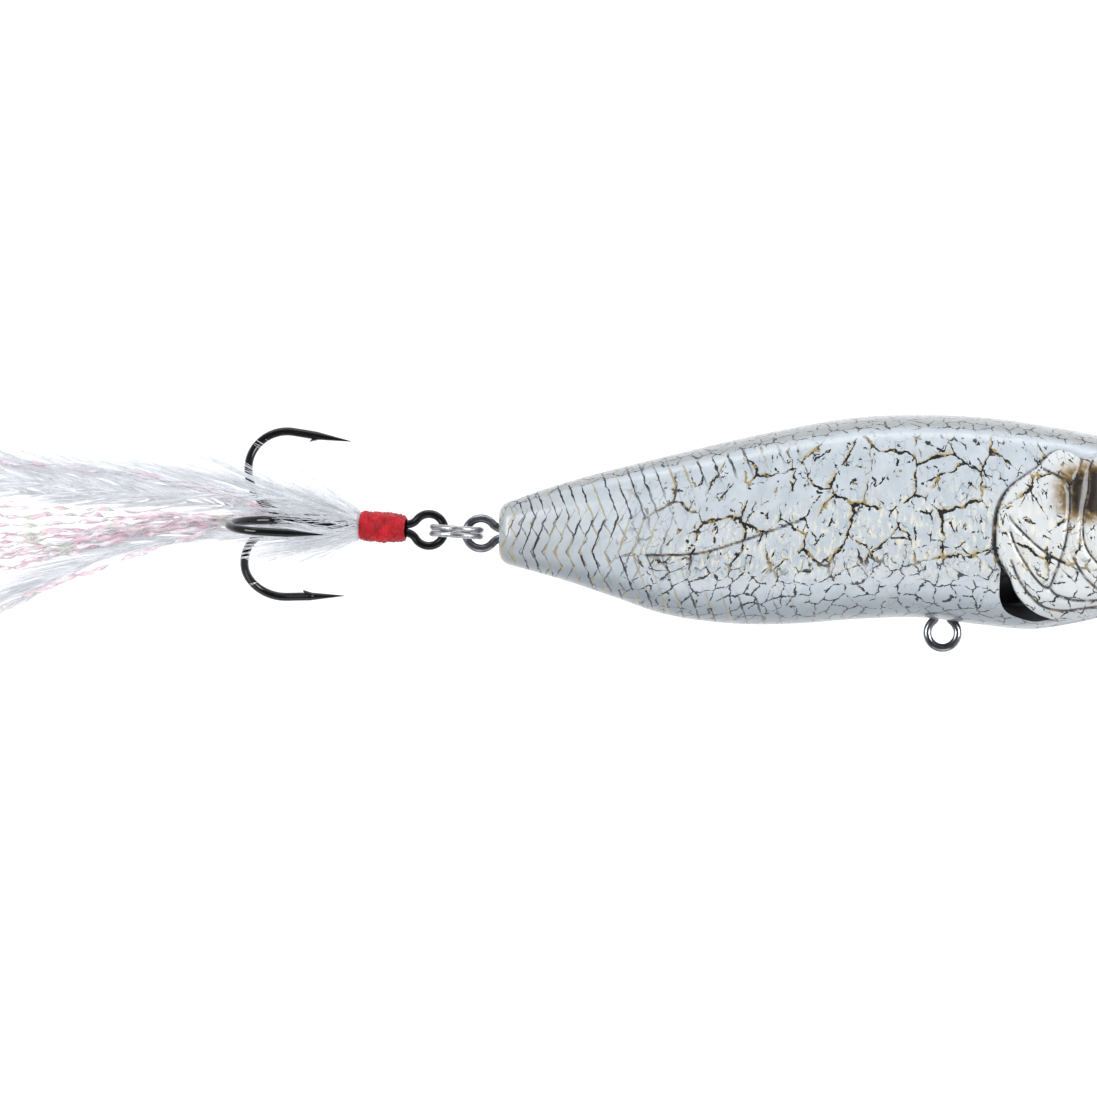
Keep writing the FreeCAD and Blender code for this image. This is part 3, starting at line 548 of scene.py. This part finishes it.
# ---- the body
def body_point(x, a):
    """The body's surface at X and at an angle round the section, from the back at 0 to the belly at pi."""
    top, bottom, half = along(BACK, x), along(BELLY, x), along(HALF_WIDTH, x)
    widest = (top + bottom) / 2 + WIDEST * (top - bottom)
    upper = np.cos(a) >= 0
    power = np.where(upper, BACK_POWER, BELLY_POWER)
    reach = np.where(upper, top - widest, widest - bottom)
    y = widest + reach * np.sign(np.cos(a)) * np.abs(np.cos(a)) ** (2 / power)
    z = half * np.abs(np.sin(a)) ** (2 / power)
    return np.stack([x + 0 * a, y, z], axis=-1)


def even_angles(count):
    """Angles whose points are evenly spaced round the widest part of the body."""
    dense = np.linspace(0, math.pi, 4000)
    ring = body_point(np.full(len(dense), -40.0), dense)
    gone = np.concatenate([[0], np.cumsum(np.linalg.norm(np.diff(ring, axis=0), axis=1))])
    return np.interp(np.linspace(0, gone[-1], count), gone, dense)


def line_distance(points, line, fineness=90):
    """Distance in the XY plane from points to a smooth line."""
    track = curve_through(line, fineness)
    best = np.full(len(points), 99.0)
    for start, end in zip(track, track[1:]):
        span = end - start
        t = np.clip(((points - start) @ span) / (span @ span), 0, 1)
        best = np.minimum(best, np.linalg.norm(points - start - t[:, None] * span, axis=1))
    return best


def inside_outline(points, outline):
    """Which points of the XY plane lie inside a closed outline."""
    inside = np.zeros(len(points), bool)
    for (x0, y0), (x1, y1) in zip(outline, np.roll(outline, -1, axis=0)):
        crosses = (y0 > points[:, 1]) != (y1 > points[:, 1])
        with np.errstate(divide="ignore", invalid="ignore"):
            at = x0 + (points[:, 1] - y0) * (x1 - x0) / (y1 - y0)
        inside ^= crosses & (points[:, 0] < at)
    return inside


def flank_relief(points):
    """How far the flank stands out at each point, and how much of it is dark groove and gill plate. The dark
    share is black paint in the grooves, and painted shade in the undercut behind the gill plate's edge.
    """
    flat = points[:, :2]
    rise, groove, plate = np.zeros(len(flat)), np.zeros(len(flat)), np.zeros(len(flat))
    head = flat[:, 0] > -34
    spot = flat[head]
    edge = line_distance(spot, PLATE_EDGE, 160)
    outline = np.vstack([curve_through(PLATE_EDGE, 160), [(5, -7), (5, 6.2)]])
    on_plate = inside_outline(spot, outline)
    fade = smoothstep(-12, -19, spot[:, 0])
    height = np.where(on_plate, PLATE_RISE * smoothstep(0.0, 0.22, edge), -STEP_DOWN * np.exp(-edge / 1.6))
    # the gap behind the plate is widest low down, towards the vent
    gape = 0.22 + 0.30 * smoothstep(4.5, 1.0, spot[:, 1])
    # painted shade: dark in the undercut just behind the plate's edge, as wide as the gap
    dark = np.where(on_plate, 0.0, smoothstep(gape, gape - 0.16, edge)) * smoothstep(-21, -24.5, spot[:, 0])
    lines = [(CHEEK, 0.10, 0.24), (CHEEK_TOP, 0.08, 0.2), (JAW, 0.10, 0.26)]
    lines += [(ray, 0.10, 0.2) for ray in GILL_RAYS]
    for line, deep, wide in lines:
        away = line_distance(spot, line)
        height = height - deep * np.exp(-(away / wide) ** 2)
        height = height + 0.045 * np.exp(-((away - 0.7) / 0.45) ** 2)
        dark = np.maximum(dark, smoothstep(0.19, 0.07, away))
    rise[head] = height * fade
    groove[head] = dark * fade
    plate[head] = on_plate * smoothstep(0.0, 0.2, edge)
    middle = (flat[:, 0] > -66) & (flat[:, 0] < -47)
    away = line_distance(flat[middle], LATERAL)
    rise[middle] -= 0.06 * np.exp(-(away / 0.14) ** 2)
    groove[middle] = smoothstep(0.17, 0.08, away)
    return rise, groove, plate


def tail_rows(a):
    """Rows from the middle of the flat tail face outwards and round its edge."""
    rim = body_point(np.full(len(a), TAIL_X), a)
    middle = np.array([TAIL_X, TAIL_MIDDLE, 0.0])
    inward = unit(middle - rim)
    rows = [middle + (rim + inward * TAIL_ROUND - middle) * t for t in np.linspace(0, 1, 12)]
    for turn in np.radians(np.linspace(80, 10, 8)):
        x = TAIL_X + TAIL_ROUND * (1 - math.sin(turn))
        rows.append(body_point(np.full(len(a), x), a) + inward * TAIL_ROUND * (1 - math.cos(turn)))
    return rows


def lip_x(a):
    """X of the lip at each angle: where the body meets the mouth's tilted plane."""
    front = np.full(len(a), -2.0)
    for _ in range(8):
        front = LIP_TOP[0] + (body_point(front, a)[:, 1] - LIP_TOP[1]) * LIP_SLOPE
    return front


def outer_rows(a, front):
    """Rows along the body's outside, from the tail to the lip."""
    coarse = np.linspace(TAIL_X + TAIL_ROUND, COARSE_END, COARSE_ROWS)
    fine = np.linspace(FINE_FROM, HEAD_X, FINE_ROWS)
    rows = [body_point(np.full(len(a), x), a) for x in np.concatenate([coarse, fine])]
    for t in np.linspace(0, 1, HEAD_ROWS)[1:]:
        rows.append(body_point(HEAD_X + (front - LIP_ROUND - HEAD_X) * t, a))
    return rows


def mouth_rows(a, front):
    """Rows round the lip, over its flat face and down to the bottom of the cup."""
    edge = body_point(front, a)
    turn = np.arctan2(edge[:, 2], edge[:, 1])
    c, s = np.cos(turn), np.sin(turn)
    reach = 1 / np.sqrt((LIP_SLOPE * c / CUP_SIZE[0]) ** 2 + (c / CUP_SIZE[1]) ** 2 + (s / CUP_SIZE[2]) ** 2)
    cup_rim = np.stack([LIP_TOP[0] + (reach * c - LIP_TOP[1]) * LIP_SLOPE, reach * c, reach * s], axis=-1)
    inward = cup_rim - edge
    span = np.linalg.norm(inward, axis=1)[:, None]
    inward = inward / span
    rows = []
    for angle in np.radians(np.linspace(10, 90, 9)):
        x = front - LIP_ROUND * (1 - math.sin(angle))
        rows.append(body_point(x, a) + inward * np.minimum(LIP_ROUND, span * 0.4) * (1 - math.cos(angle)))
    start = rows[-1]
    stop = cup_rim - inward * 0.25
    rows += [start + (stop - start) * t for t in np.linspace(0, 1, 6)[1:]]

    begin = unit((cup_rim - [CUP_CENTRE, 0, 0]) / CUP_SIZE)
    pole = np.array([-1.0, 0, 0])
    whole = np.arccos(begin @ pole)[:, None]
    for t in np.linspace(0.04, 1, 46):
        part = (np.sin((1 - t) * whole) * begin + np.sin(t * whole) * pole) / np.sin(whole)
        rows.append(part * CUP_SIZE + [CUP_CENTRE, 0, 0])
    return rows


def relieved(outer):
    """The outside with its relief, and its shares of groove and gill plate; the groove share carries painted
    shade behind the gill plate's edge. The relief fades at the seam.
    """
    du, dv = np.gradient(outer, axis=0), np.gradient(outer, axis=1)
    normal = np.cross(dv, du)
    normal /= np.linalg.norm(normal, axis=-1)[..., None] + 1e-9
    normal *= np.sign(normal[:, normal.shape[1] // 2, 2]).mean()
    rise, dark, plate = (values.reshape(outer.shape[:2]) for values in flank_relief(outer.reshape(-1, 3)))
    column = np.arange(outer.shape[1])
    seam = np.minimum(1, np.minimum(column, column[::-1]) / 6)
    return outer + normal * (rise * seam)[..., None], dark, plate


def skin_points(side):
    """The grid of points from the tail to the bottom of the cup, and what the paint needs to know of each."""
    a = even_angles(COLUMNS)
    front = lip_x(a)
    tail, outer, mouth = tail_rows(a), outer_rows(a, front), mouth_rows(a, front)
    first, last = len(tail), len(tail) + len(outer)
    points = np.array(tail + outer + mouth)
    groove, on_plate, in_mouth = np.zeros((3, *points.shape[:2]))
    points[first:last], groove[first:last], on_plate[first:last] = relieved(points[first:last])
    on_plate[last:] = 1.0
    in_mouth[last + 4:] = 1.0
    points[:, 0, 2] = points[:, -1, 2] = 0
    points[..., 2] *= side
    return points, groove, on_plate, in_mouth


def skin(name, side, paint, black):
    """Half of the painted body, closed at the seam plane, with its vent, duct and eye socket cut out."""
    points, groove, on_plate, in_mouth = skin_points(side)
    rows, columns = points.shape[:2]
    flat = points.reshape(-1, 3)
    faces = grid_faces(rows, columns)
    seam = [r * columns for r in range(rows)] + [r * columns + columns - 1 for r in range(rows - 2, 0, -1)]
    faces.append(seam[::-1])
    if side < 0:
        faces = [face[::-1] for face in faces]
    obj = make_piece(name, flat, faces, None, [paint, black])
    mesh = obj.data
    round_section = np.linalg.norm(np.diff(points[..., 1:], axis=1), axis=2)
    arc = np.concatenate([np.zeros((rows, 1)), np.cumsum(round_section, axis=1)], axis=1)
    unrolled = np.stack([points[..., 0], arc, 0 * arc + 40 * side], axis=-1)
    mesh.attributes.new("unrolled", "FLOAT_VECTOR", "POINT").data.foreach_set("vector", unrolled.ravel())
    shares = {"from_back": along(BACK, flat[:, 0]) - flat[:, 1],
              "from_belly": flat[:, 1] - along(BELLY, flat[:, 0]),
              "groove": groove.ravel(), "on_plate": on_plate.ravel(), "mouth": in_mouth.ravel()}
    for label, values in shares.items():
        mesh.attributes.new(label, "FLOAT", "POINT").data.foreach_set("value", values)
    weld = obj.modifiers.new("weld", "WELD")
    weld.merge_threshold = 0.002 * MM
    cutters = [vent_cutter(side), duct_cutter(side), socket_cutter(side)]
    for block in cutters:
        cut = obj.modifiers.new(block.name, "BOOLEAN")
        cut.operation, cut.object, cut.solver = "DIFFERENCE", block, "EXACT"
    depsgraph = bpy.context.evaluated_depsgraph_get()
    applied = bpy.data.meshes.new_from_object(obj.evaluated_get(depsgraph))
    obj.modifiers.clear()
    obj.data = applied
    applied.shade_smooth()
    applied.set_sharp_from_angle(angle=math.radians(42))
    for block in cutters:
        bpy.data.objects.remove(block)
    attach(obj, "lure_body")
    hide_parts("shell_right" if side > 0 else "shell_left")


def cutter(name, points, faces):
    """A closed block to cut with. The faces it leaves take the body's second material, the black one: in the
    vent and duct, the black of the duct insert with painted shade for the depth behind it, and round the eye
    socket, a ring of painted shade.
    """
    return make_piece(name, points, faces, None, [None, None], face_material=[1] * len(faces))


def prism(name, outline, low, high, side):
    """An upright block over an outline in the XY plane."""
    points = [(x, y, z * side) for z in (low, high) for x, y in outline]
    area = sum(x0 * y1 - x1 * y0 for (x0, y0), (x1, y1) in zip(outline, np.roll(outline, -1, axis=0)))
    return cutter(name, points, prism_faces(len(outline), (area > 0) == (side > 0)))


def vent_cutter(side):
    return prism("vent_cut", curve_through(VENT + VENT[:1], 60)[:-1], VENT_FLOOR, OUTSIDE_Z, side)


def socket_cutter(side):
    """The round socket that holds the iris, a little wider than it and as deep."""
    low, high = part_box("eye_iris_right")
    centre = [(low[k] + high[k]) / 2 / MM for k in (0, 1)]
    radius = (high[0] - low[0]) / 2 / MM + 0.1
    turns = np.linspace(0, 2 * math.pi, 97)[:-1]
    outline = np.stack([centre[0] + radius * np.cos(turns), centre[1] + radius * np.sin(turns)], axis=1)
    return prism("socket_cut", outline, low[2] / MM - 0.02, OUTSIDE_Z, side)


def duct_cutter(side):
    """The duct's way, from clear of the mouth's cup towards the vent."""
    start, end = np.array(DUCT_FROM), np.array(DUCT_TO)
    axis = unit(end - start)
    end = start + (end - start) * DUCT_SHARE
    start = start - axis * 3
    across = unit(np.cross(axis, [0, 0, 1]))
    up = np.cross(across, axis)
    turns = np.linspace(0, 2 * math.pi, 65)[:-1]
    ring = (np.outer(np.cos(turns), across) + np.outer(np.sin(turns), up)) * DUCT_WAY
    points = np.vstack([start + ring, end + ring])
    points[:, 2] *= side
    return cutter("duct_cut", points, prism_faces(len(turns), side < 0))


# ---- the treble's dressing: points are (along the shank, towards the back, towards the right flank)
HOOK_EYE_OUT = 2.85  # from the ring's centre to the centre of the treble's eye, where the shank begins
WRAP_FROM, WRAP_TO = 2.3, 6.9  # along the shank
THREAD_PITCH = 0.34  # from one turn of thread to the next
LOCK = 7  # barbs that cling together
TINSEL_OPENS = 17.0  # distance along the shank where the strands begin to fan out

# one side of a feather: how many barbs, on which side of the spine, how long along it, the angle at which
# they leave, how far they sweep towards the tip, where they begin and end on the spine, and their seed
Barbs = namedtuple("Barbs", "count side lengths leave sweep begin end seed")
# soft fibres at a feather's root: how far along they reach, and the ranges of Y and Z where they end
Fan = namedtuple("Fan", "count seed reach y_range z_range")


def joint(name):
    return next(j for j in frame["joints"] if j["name"] == name)


def treble_axes():
    """The ring's centre, and unit vectors away from the shank, along the ring's axis and square to both."""
    centre = np.array(joint("treble_swing")["pos_m"]) / MM
    ring_axis = np.array(joint("treble_swing")["axis"], float)
    ring_axis = unit(ring_axis)
    low, high = (np.array(corner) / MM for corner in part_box("thread_wrap"))
    shank = (low + high) / 2 - centre
    shank -= ring_axis * (shank @ ring_axis)
    ahead = -unit(shank)
    return centre, ahead, ring_axis, np.cross(ahead, ring_axis)


def on_treble(points):
    """From the shank's own coordinates to the frame's."""
    centre, ahead, back, flank = treble_axes()
    points = np.asarray(points, float)
    away, y, z = points[..., :1] + HOOK_EYE_OUT, points[..., 1:2], points[..., 2:3]
    return centre - away * ahead + y * back + z * flank


def thread_wrap(material):
    """Turns of thread side by side, lumpy under the varnish, and hollow round the shank."""
    stations, around, bore = 170, 96, 0.95
    s = np.linspace(WRAP_FROM - 0.02, WRAP_TO + 0.02, stations)[:, None]
    turn = np.linspace(0, 2 * math.pi, around, endpoint=False)[None, :]
    outline = [(WRAP_FROM - 0.1, 1.2), (3.1, 1.34), (4.4, 1.43), (5.9, 1.46), (WRAP_TO + 0.1, 1.42)]
    radius = along(outline, s) + 0 * turn
    wander = 0.16 * np.sin(turn * 2 + s)
    strand = np.abs(np.sin(math.pi * (s / THREAD_PITCH + turn / (2 * math.pi) + wander)))
    radius += 0.05 * strand ** 0.8 + 0.07 * wobble(turn * 2 + s * 2.3, 3) * np.cos(turn)
    lumps = 0.05 * np.sin(5 * turn + 3 * s) * np.sin(2.2 * s + 1)
    radius += lumps + 0.035 * np.sin(11 * turn - 2 * s) * np.sin(6.1 * s)
    ends = np.minimum(1, np.minimum(s - s[0], s[-1] - s) / 0.16)
    radius *= 0.86 + 0.14 * np.sqrt(ends)

    def tube(r):
        return np.stack([s + 0 * turn, r * np.cos(turn), r * np.sin(turn)], axis=-1)

    outer = tube(radius)
    inner = tube(bore + 0 * radius)[::-1][::12]
    rings = np.concatenate([outer, inner, outer[:1]])
    faces = [face[::-1] for face in grid_faces(len(rings), around, closed=True)]
    points = on_treble(rings).reshape(-1, 3)
    obj = make_piece("wrap_turns", points, faces, "treble", [material], sharp_deg=60)
    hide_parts("thread_wrap")


def strands(name, paths, width, thick, flat, twist, material, taper=0.35):
    """Many thin solid strands as one piece, each a flat band or a three-sided fibre along its path."""
    paths = np.asarray(paths, float)
    count, length = paths.shape[:2]
    tangent = np.gradient(paths, axis=1)
    tangent /= np.linalg.norm(tangent, axis=2)[..., None] + 1e-9
    side = np.cross(tangent, [0.0, 0.0, 1.0])
    side /= np.linalg.norm(side, axis=2)[..., None] + 1e-9
    up = np.cross(side, tangent)
    c, s = np.cos(twist)[..., None], np.sin(twist)[..., None]
    across, over = side * c + up * s, up * c - side * s
    share = np.linspace(0, 1, length)
    shrink = (1 - (1 - taper) * share ** 2)[None, :, None]
    half = np.asarray(width).reshape(-1, 1, 1) / 2 * shrink
    corners = [(-1, -0.5), (1, -0.5), (1, 0.5), (-1, 0.5)] if flat else [(-1, -0.6), (1, -0.6), (0, 1)]
    ring = [paths + across * half * u + over * thick / 2 * v * shrink * 2 for u, v in corners]
    points = on_treble(np.stack(ring, axis=2))
    n = len(corners)
    faces = np.array(grid_faces(length, n, closed=True))
    starts = np.arange(count)[:, None, None] * length * n
    quads = (faces[None] + starts).reshape(-1, 4).tolist()
    caps = []
    for first in range(0, count * length * n, length * n):
        caps.append([first + j for j in range(n)])
        caps.append([first + (length - 1) * n + j for j in reversed(range(n))])
    piece = make_piece(name, points.reshape(-1, 3), quads + caps, "treble", [material])
    # tone: a random number per strand, which the feather's material turns into painted lilac shade
    tone = np.repeat(random.uniform(0, 1, count), length * n)
    piece.data.attributes.new("tone", "FLOAT", "POINT").data.foreach_set("value", tone)
    return piece


def feather_paths(spine, rows, steps=9):
    """Centrelines of the barbs of every row along a feather's spine."""
    fineness = 200
    track = curve_through(spine, fineness)
    heading = unit(np.gradient(track, axis=0))
    paths = []
    for row in rows:
        dice = np.random.default_rng(row.seed)
        for k in range(row.count):
            within = k % LOCK - (LOCK - 1) / 2
            place = (k + within * -0.45 + dice.uniform(-0.3, 0.3)) / row.count
            f = row.begin + (row.end - row.begin) * place
            i = int(np.clip(f, 0, 1) * (fineness - 1))
            long = along(row.lengths, f) * dice.uniform(0.78, 1.06)
            clump = 0.05 * math.sin(f * 63 + row.seed) + 0.04 * math.sin(f * 171 + row.seed * 2)
            if k % LOCK == 0:
                lock_turn, lock_tilt = dice.normal(0, 0.065), dice.normal(0, 0.08)
            turn = row.leave + clump + lock_turn + dice.normal(0, 0.018)
            tilt = lock_tilt + dice.normal(0, 0.04)
            point = track[i].copy()
            path = [point.copy()]
            for step in range(steps):
                t = step / (steps - 1)
                angle = row.side * (turn * (1 - row.sweep * t) + 0.03 * math.sin(4 * t + f * 30 + row.seed))
                c, s = math.cos(angle), math.sin(angle)
                point += np.array([heading[i, 0] * c - heading[i, 1] * s,
                                   heading[i, 0] * s + heading[i, 1] * c,
                                   heading[i, 2] + tilt * (0.4 + 0.6 * t)]) * long / steps
                path.append(point.copy())
            paths.append(path)
    return np.array(paths)


def fan_paths(fan, steps=9):
    """Centrelines of the soft fibres that spread from the wrap."""
    dice = np.random.default_rng(fan.seed)
    t = np.linspace(0, 1, steps + 1)[:, None]
    low, high = fan.y_range
    paths = []
    for _ in range(fan.count):
        turn = dice.uniform(0, 2 * math.pi)
        start = np.array([WRAP_TO - 0.3, 1.12 * math.cos(turn), 1.12 * math.sin(turn)])
        share = np.clip(0.5 + 0.5 * math.cos(turn) + dice.normal(0, 0.16), 0, 1)
        end = np.array([dice.uniform(*fan.reach), low + (high - low) * share, dice.uniform(*fan.z_range)])
        bow = dice.normal(0, 0.5)
        middle = (start + end) / 2 + [0, (end[1] - start[1]) * 0.04 + bow, dice.normal(0, 0.25)]
        paths.append((1 - t) ** 2 * start + 2 * t * (1 - t) * middle + t * t * end)
    return np.array(paths)


def feather(name, node, spine, rows, fans, material):
    """A hackle as two pieces: its shaft, and its barbs with the soft fibres at its root."""
    straight = np.zeros((1, 1))
    fibres = np.concatenate([feather_paths(spine, rows)] + [fan_paths(fan) for fan in fans])
    widths = random.uniform(0.05, 0.11, len(fibres))
    shaft = curve_through(spine, 60)[None] - [0, 0, 0.1]
    pieces = [strands(name, fibres, widths, 0.045, False, straight, material),
              strands(name + "_shaft", shaft, [0.09], 0.07, True, straight, material, taper=0.2)]
    for piece in pieces:
        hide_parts(node)


def hackles(material):
    """Three feathers tied in under the wrap: one up, one down, and one behind that shows between them."""
    upper = [(6.0, 0.75, 0.85), (9.0, 1.2, 0.95), (14.0, 2.3, 1.0), (20.0, 2.3, 1.1), (26.0, 1.8, 1.3),
             (33.5, 1.75, 1.5), (43.0, 2.4, 1.9), (52.0, 2.2, 2.3)]
    outside = [(0.0, 6.0), (0.2, 11.0), (0.5, 12.0), (0.75, 8.5), (1.0, 4.0)]
    inside = [(0, 4.0), (0.5, 7.0), (1, 4.0)]
    feather("hackle_upper", "feather_upper", upper,
            [Barbs(390, 1, outside, 0.34, 0.42, 0.15, 0.80, 1),
             Barbs(250, -1, inside, 0.15, 0.5, 0.06, 0.90, 2)],
            [Fan(130, 5, (12, 22), (-0.5, 5.0), (0.2, 2.0)), Fan(9, 6, (14, 19), (4.5, 8.0), (0.0, 1.5))],
            material)
    lower = [(6.0, -0.75, 0.85), (10.0, -1.0, 0.95), (16.0, -1.4, 1.0), (22.0, -2.0, 1.2), (31.5, -4.3, 1.4),
             (37.0, -7.2, 1.6), (43.0, -11.0, 1.9), (46.0, -12.9, 2.1)]
    inside = [(0, 5.0), (0.4, 10.0), (0.8, 8.0), (1, 4.0)]
    outside = [(0, 4.0), (0.4, 6.0), (1, 3.0)]
    feather("hackle_lower", "feather_lower", lower,
            [Barbs(380, 1, inside, 0.22, 0.5, 0.06, 0.85, 3),
             Barbs(260, -1, outside, 0.11, 0.6, 0.06, 0.90, 4)],
            [Fan(170, 7, (12, 21), (-4.2, 1.0), (0.2, 1.8)), Fan(8, 8, (13, 19), (-7.0, -4.0), (0.0, 1.2))],
            material)
    behind = [(6.0, 0.3, -1.05), (12.0, 0.4, -1.2), (18.0, 1.0, -1.15), (28.0, 1.2, -0.6), (38.0, 1.1, -0.2),
              (46.0, 1.2, 0.3)]
    above, below = [(0, 3.0), (0.5, 6.0), (1, 3.5)], [(0, 3.0), (0.5, 5.0), (1, 3.0)]
    feather("hackle_behind", "feather_behind", behind,
            [Barbs(260, 1, above, 0.30, 0.55, 0.10, 0.98, 9),
             Barbs(260, -1, below, 0.24, 0.55, 0.10, 0.98, 10)],
            [Fan(160, 12, (12, 22), (-3.0, 3.6), (-2.0, -0.4))], material)


def tinsel(material):
    """Twisted film strands: two along the top hackle, one low down, and the rest fanned out between them."""
    ends = [(46, 3.5), (44, 3.9), (47, -12.6), (50, -0.7), (50, -1.9), (49, -3.2)]
    ends += [(random.uniform(46, 50), -4.1 - 0.5 * k) for k in range(10)]
    count = len(ends)
    share = np.linspace(0, 1, 150)
    paths, twist = [], []
    for k, (far, y) in enumerate(ends):
        on_top = y > 0
        s = WRAP_TO - 0.4 + (far - WRAP_TO) * share
        spread = np.clip((s - TINSEL_OPENS) / (far - TINSEL_OPENS), 0, 1) ** (0.8 if on_top else 1.2)
        arch = 1.4 * np.sin(math.pi * share) if on_top else 0
        height = 0.3 * np.sin(3 * k) * (1 - spread) + y * spread + arch
        if k % 4:
            level = -0.9 + (2.0 + 0.25 * (k % 3)) * smoothstep(12, 24, s) + share
        else:
            level = -1.0 + 1.6 * share  # every fourth strand stays low, behind the others
        crinkle = 0.05 * wobble(s * 1.5, 20 + k) + 0.25 * wobble(s * 0.4, 60 + k)
        paths.append(np.stack([s, height + crinkle, level + 0.12 * wobble(s * 2.3, 100 + k)], axis=1))
        twist.append(0.6 * s * (1 + 0.08 * wobble(s * 0.4, k)) + k)
    widths = random.uniform(0.40, 0.56, count)
    piece = strands("tinsel_strands", paths, widths, 0.03, True, np.array(twist), material, taper=0.9)
    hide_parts("tinsel_bundle")


# ---- stage, light and camera
def area_light(name, place, target, size, power):
    light = bpy.data.lights.new(name, "AREA")
    light.shape = "RECTANGLE"
    light.size, light.size_y = size[0] * MM, size[1] * MM
    light.energy = power
    obj = bpy.data.objects.new(name, light)
    obj.location = Vector(place) * MM
    obj.rotation_euler = (Vector(target) - Vector(place)).to_track_quat("-Z", "Y").to_euler()
    bpy.context.scene.collection.objects.link(obj)


def plain_floor():
    """A pale floor so far below the lure that the treble clears it at every limit."""
    height = cad_box[0][2] / MM - FLOOR_DROP
    half, middle_x = 1500.0, -70
    points = [(x * half + middle_x, y * half, height) for x, y in ((-1, -1), (1, -1), (1, 1), (-1, 1))]
    s = Shader("floor_paint", Specular_IOR_Level=0.1)
    grain = s.noise(s.place(), 0.02, 2.0)
    s.set(Base_Color=s.mix(grain, (0.93, 0.93, 0.93, 1), (0.95, 0.95, 0.95, 1)), Roughness=0.9)
    make_piece("floor", points, [[0, 1, 2, 3]], None, [s.material])


def soft_sky():
    """A white sky, brighter towards the horizon than overhead."""
    world = bpy.data.worlds.new("studio")
    world.use_nodes = True
    nodes, links = world.node_tree.nodes, world.node_tree.links
    direction = nodes.new("ShaderNodeTexCoord").outputs["Generated"]
    height = nodes.new("ShaderNodeSeparateXYZ")
    links.new(direction, height.inputs[0])
    sky = nodes.new("ShaderNodeMapRange")
    links.new(height.outputs["Z"], sky.inputs["Value"])
    for key, value in SKY.items():
        sky.inputs[key].default_value = value
    background = nodes["Background"]
    background.inputs["Color"].default_value = (0.95, 0.97, 1.0, 1)
    links.new(sky.outputs[0], background.inputs["Strength"])
    bpy.context.scene.world = world


def lights():
    """Four soft boxes: one low behind the back, one on the belly's side, and one off each end."""
    middle = (-60, 0, 0)
    area_light("edge_light", (-45, 420, 95), middle, (460, 110), 0.62)
    area_light("belly_fill", (-60, -400, 210), middle, (460, 180), 0.4)
    area_light("tail_side", (-420, 40, 330), middle, (260, 260), 1.6)
    area_light("nose_side", (300, 40, 330), middle, (260, 260), 2.0)


def camera():
    """Straight down on the right flank, with the nose and the feather tips outside the picture."""
    wide, centre, lens, sensor = 109.7, (-74.15, -2.85), 400.0, 36.0
    data = bpy.data.cameras.new("camera")
    data.lens, data.sensor_width, data.sensor_fit = lens, sensor, "HORIZONTAL"
    data.clip_start, data.clip_end = 0.01, 20.0
    obj = bpy.data.objects.new("camera", data)
    obj.location = Vector((centre[0], centre[1], wide * lens / sensor)) * MM
    bpy.context.scene.collection.objects.link(obj)
    bpy.context.scene.camera = obj
    bpy.context.scene.view_settings.view_transform = "Standard"


def dress_cad_nodes(black):
    """Gives the CAD pieces that stay in view their own materials."""
    steel = metal("hanger_steel", rgb(96, 97, 102), rgb(150, 151, 156), 0.16)
    bright = metal("ring_steel", rgb(150, 150, 154), rgb(200, 200, 203), 0.3, 0.0)
    lead = metal("cast_metal", rgb(70, 70, 74), rgb(104, 104, 108), 0.5, 0.6)
    plated, iris, dome = black_nickel(), eye_print_painted_glow(), clear_dome()
    looks = [(steel, ["line_tie_wire", "belly_hanger_wire", "tail_hanger_wire"]),
             (bright, ["split_ring", "rattle_ball"]), (plated, ["hook_double", "hook_single"]),
             (lead, ["tail_weight"]), (black, ["gill_duct_right", "gill_duct_left"]),
             (iris, ["eye_iris_right", "eye_iris_left"]), (dome, ["eye_dome_right", "eye_dome_left"])]
    for material, names in looks:
        for name in names:
            mesh = frame["nodes"][name].data
            mesh.materials.clear()
            mesh.materials.append(material)


camera()
plain_floor()
soft_sky()
lights()
# black: the duct inserts' black plastic, and painted shade on the walls that the cuts leave
black = black_plastic_and_painted_shade()
dress_cad_nodes(black)
paint = painted_body()
skin("painted_half_right", 1, paint, black)
skin("painted_half_left", -1, paint, black)
thread_wrap(red_thread())
hackles(feather_white_painted_light())
tinsel(pearl_tinsel())
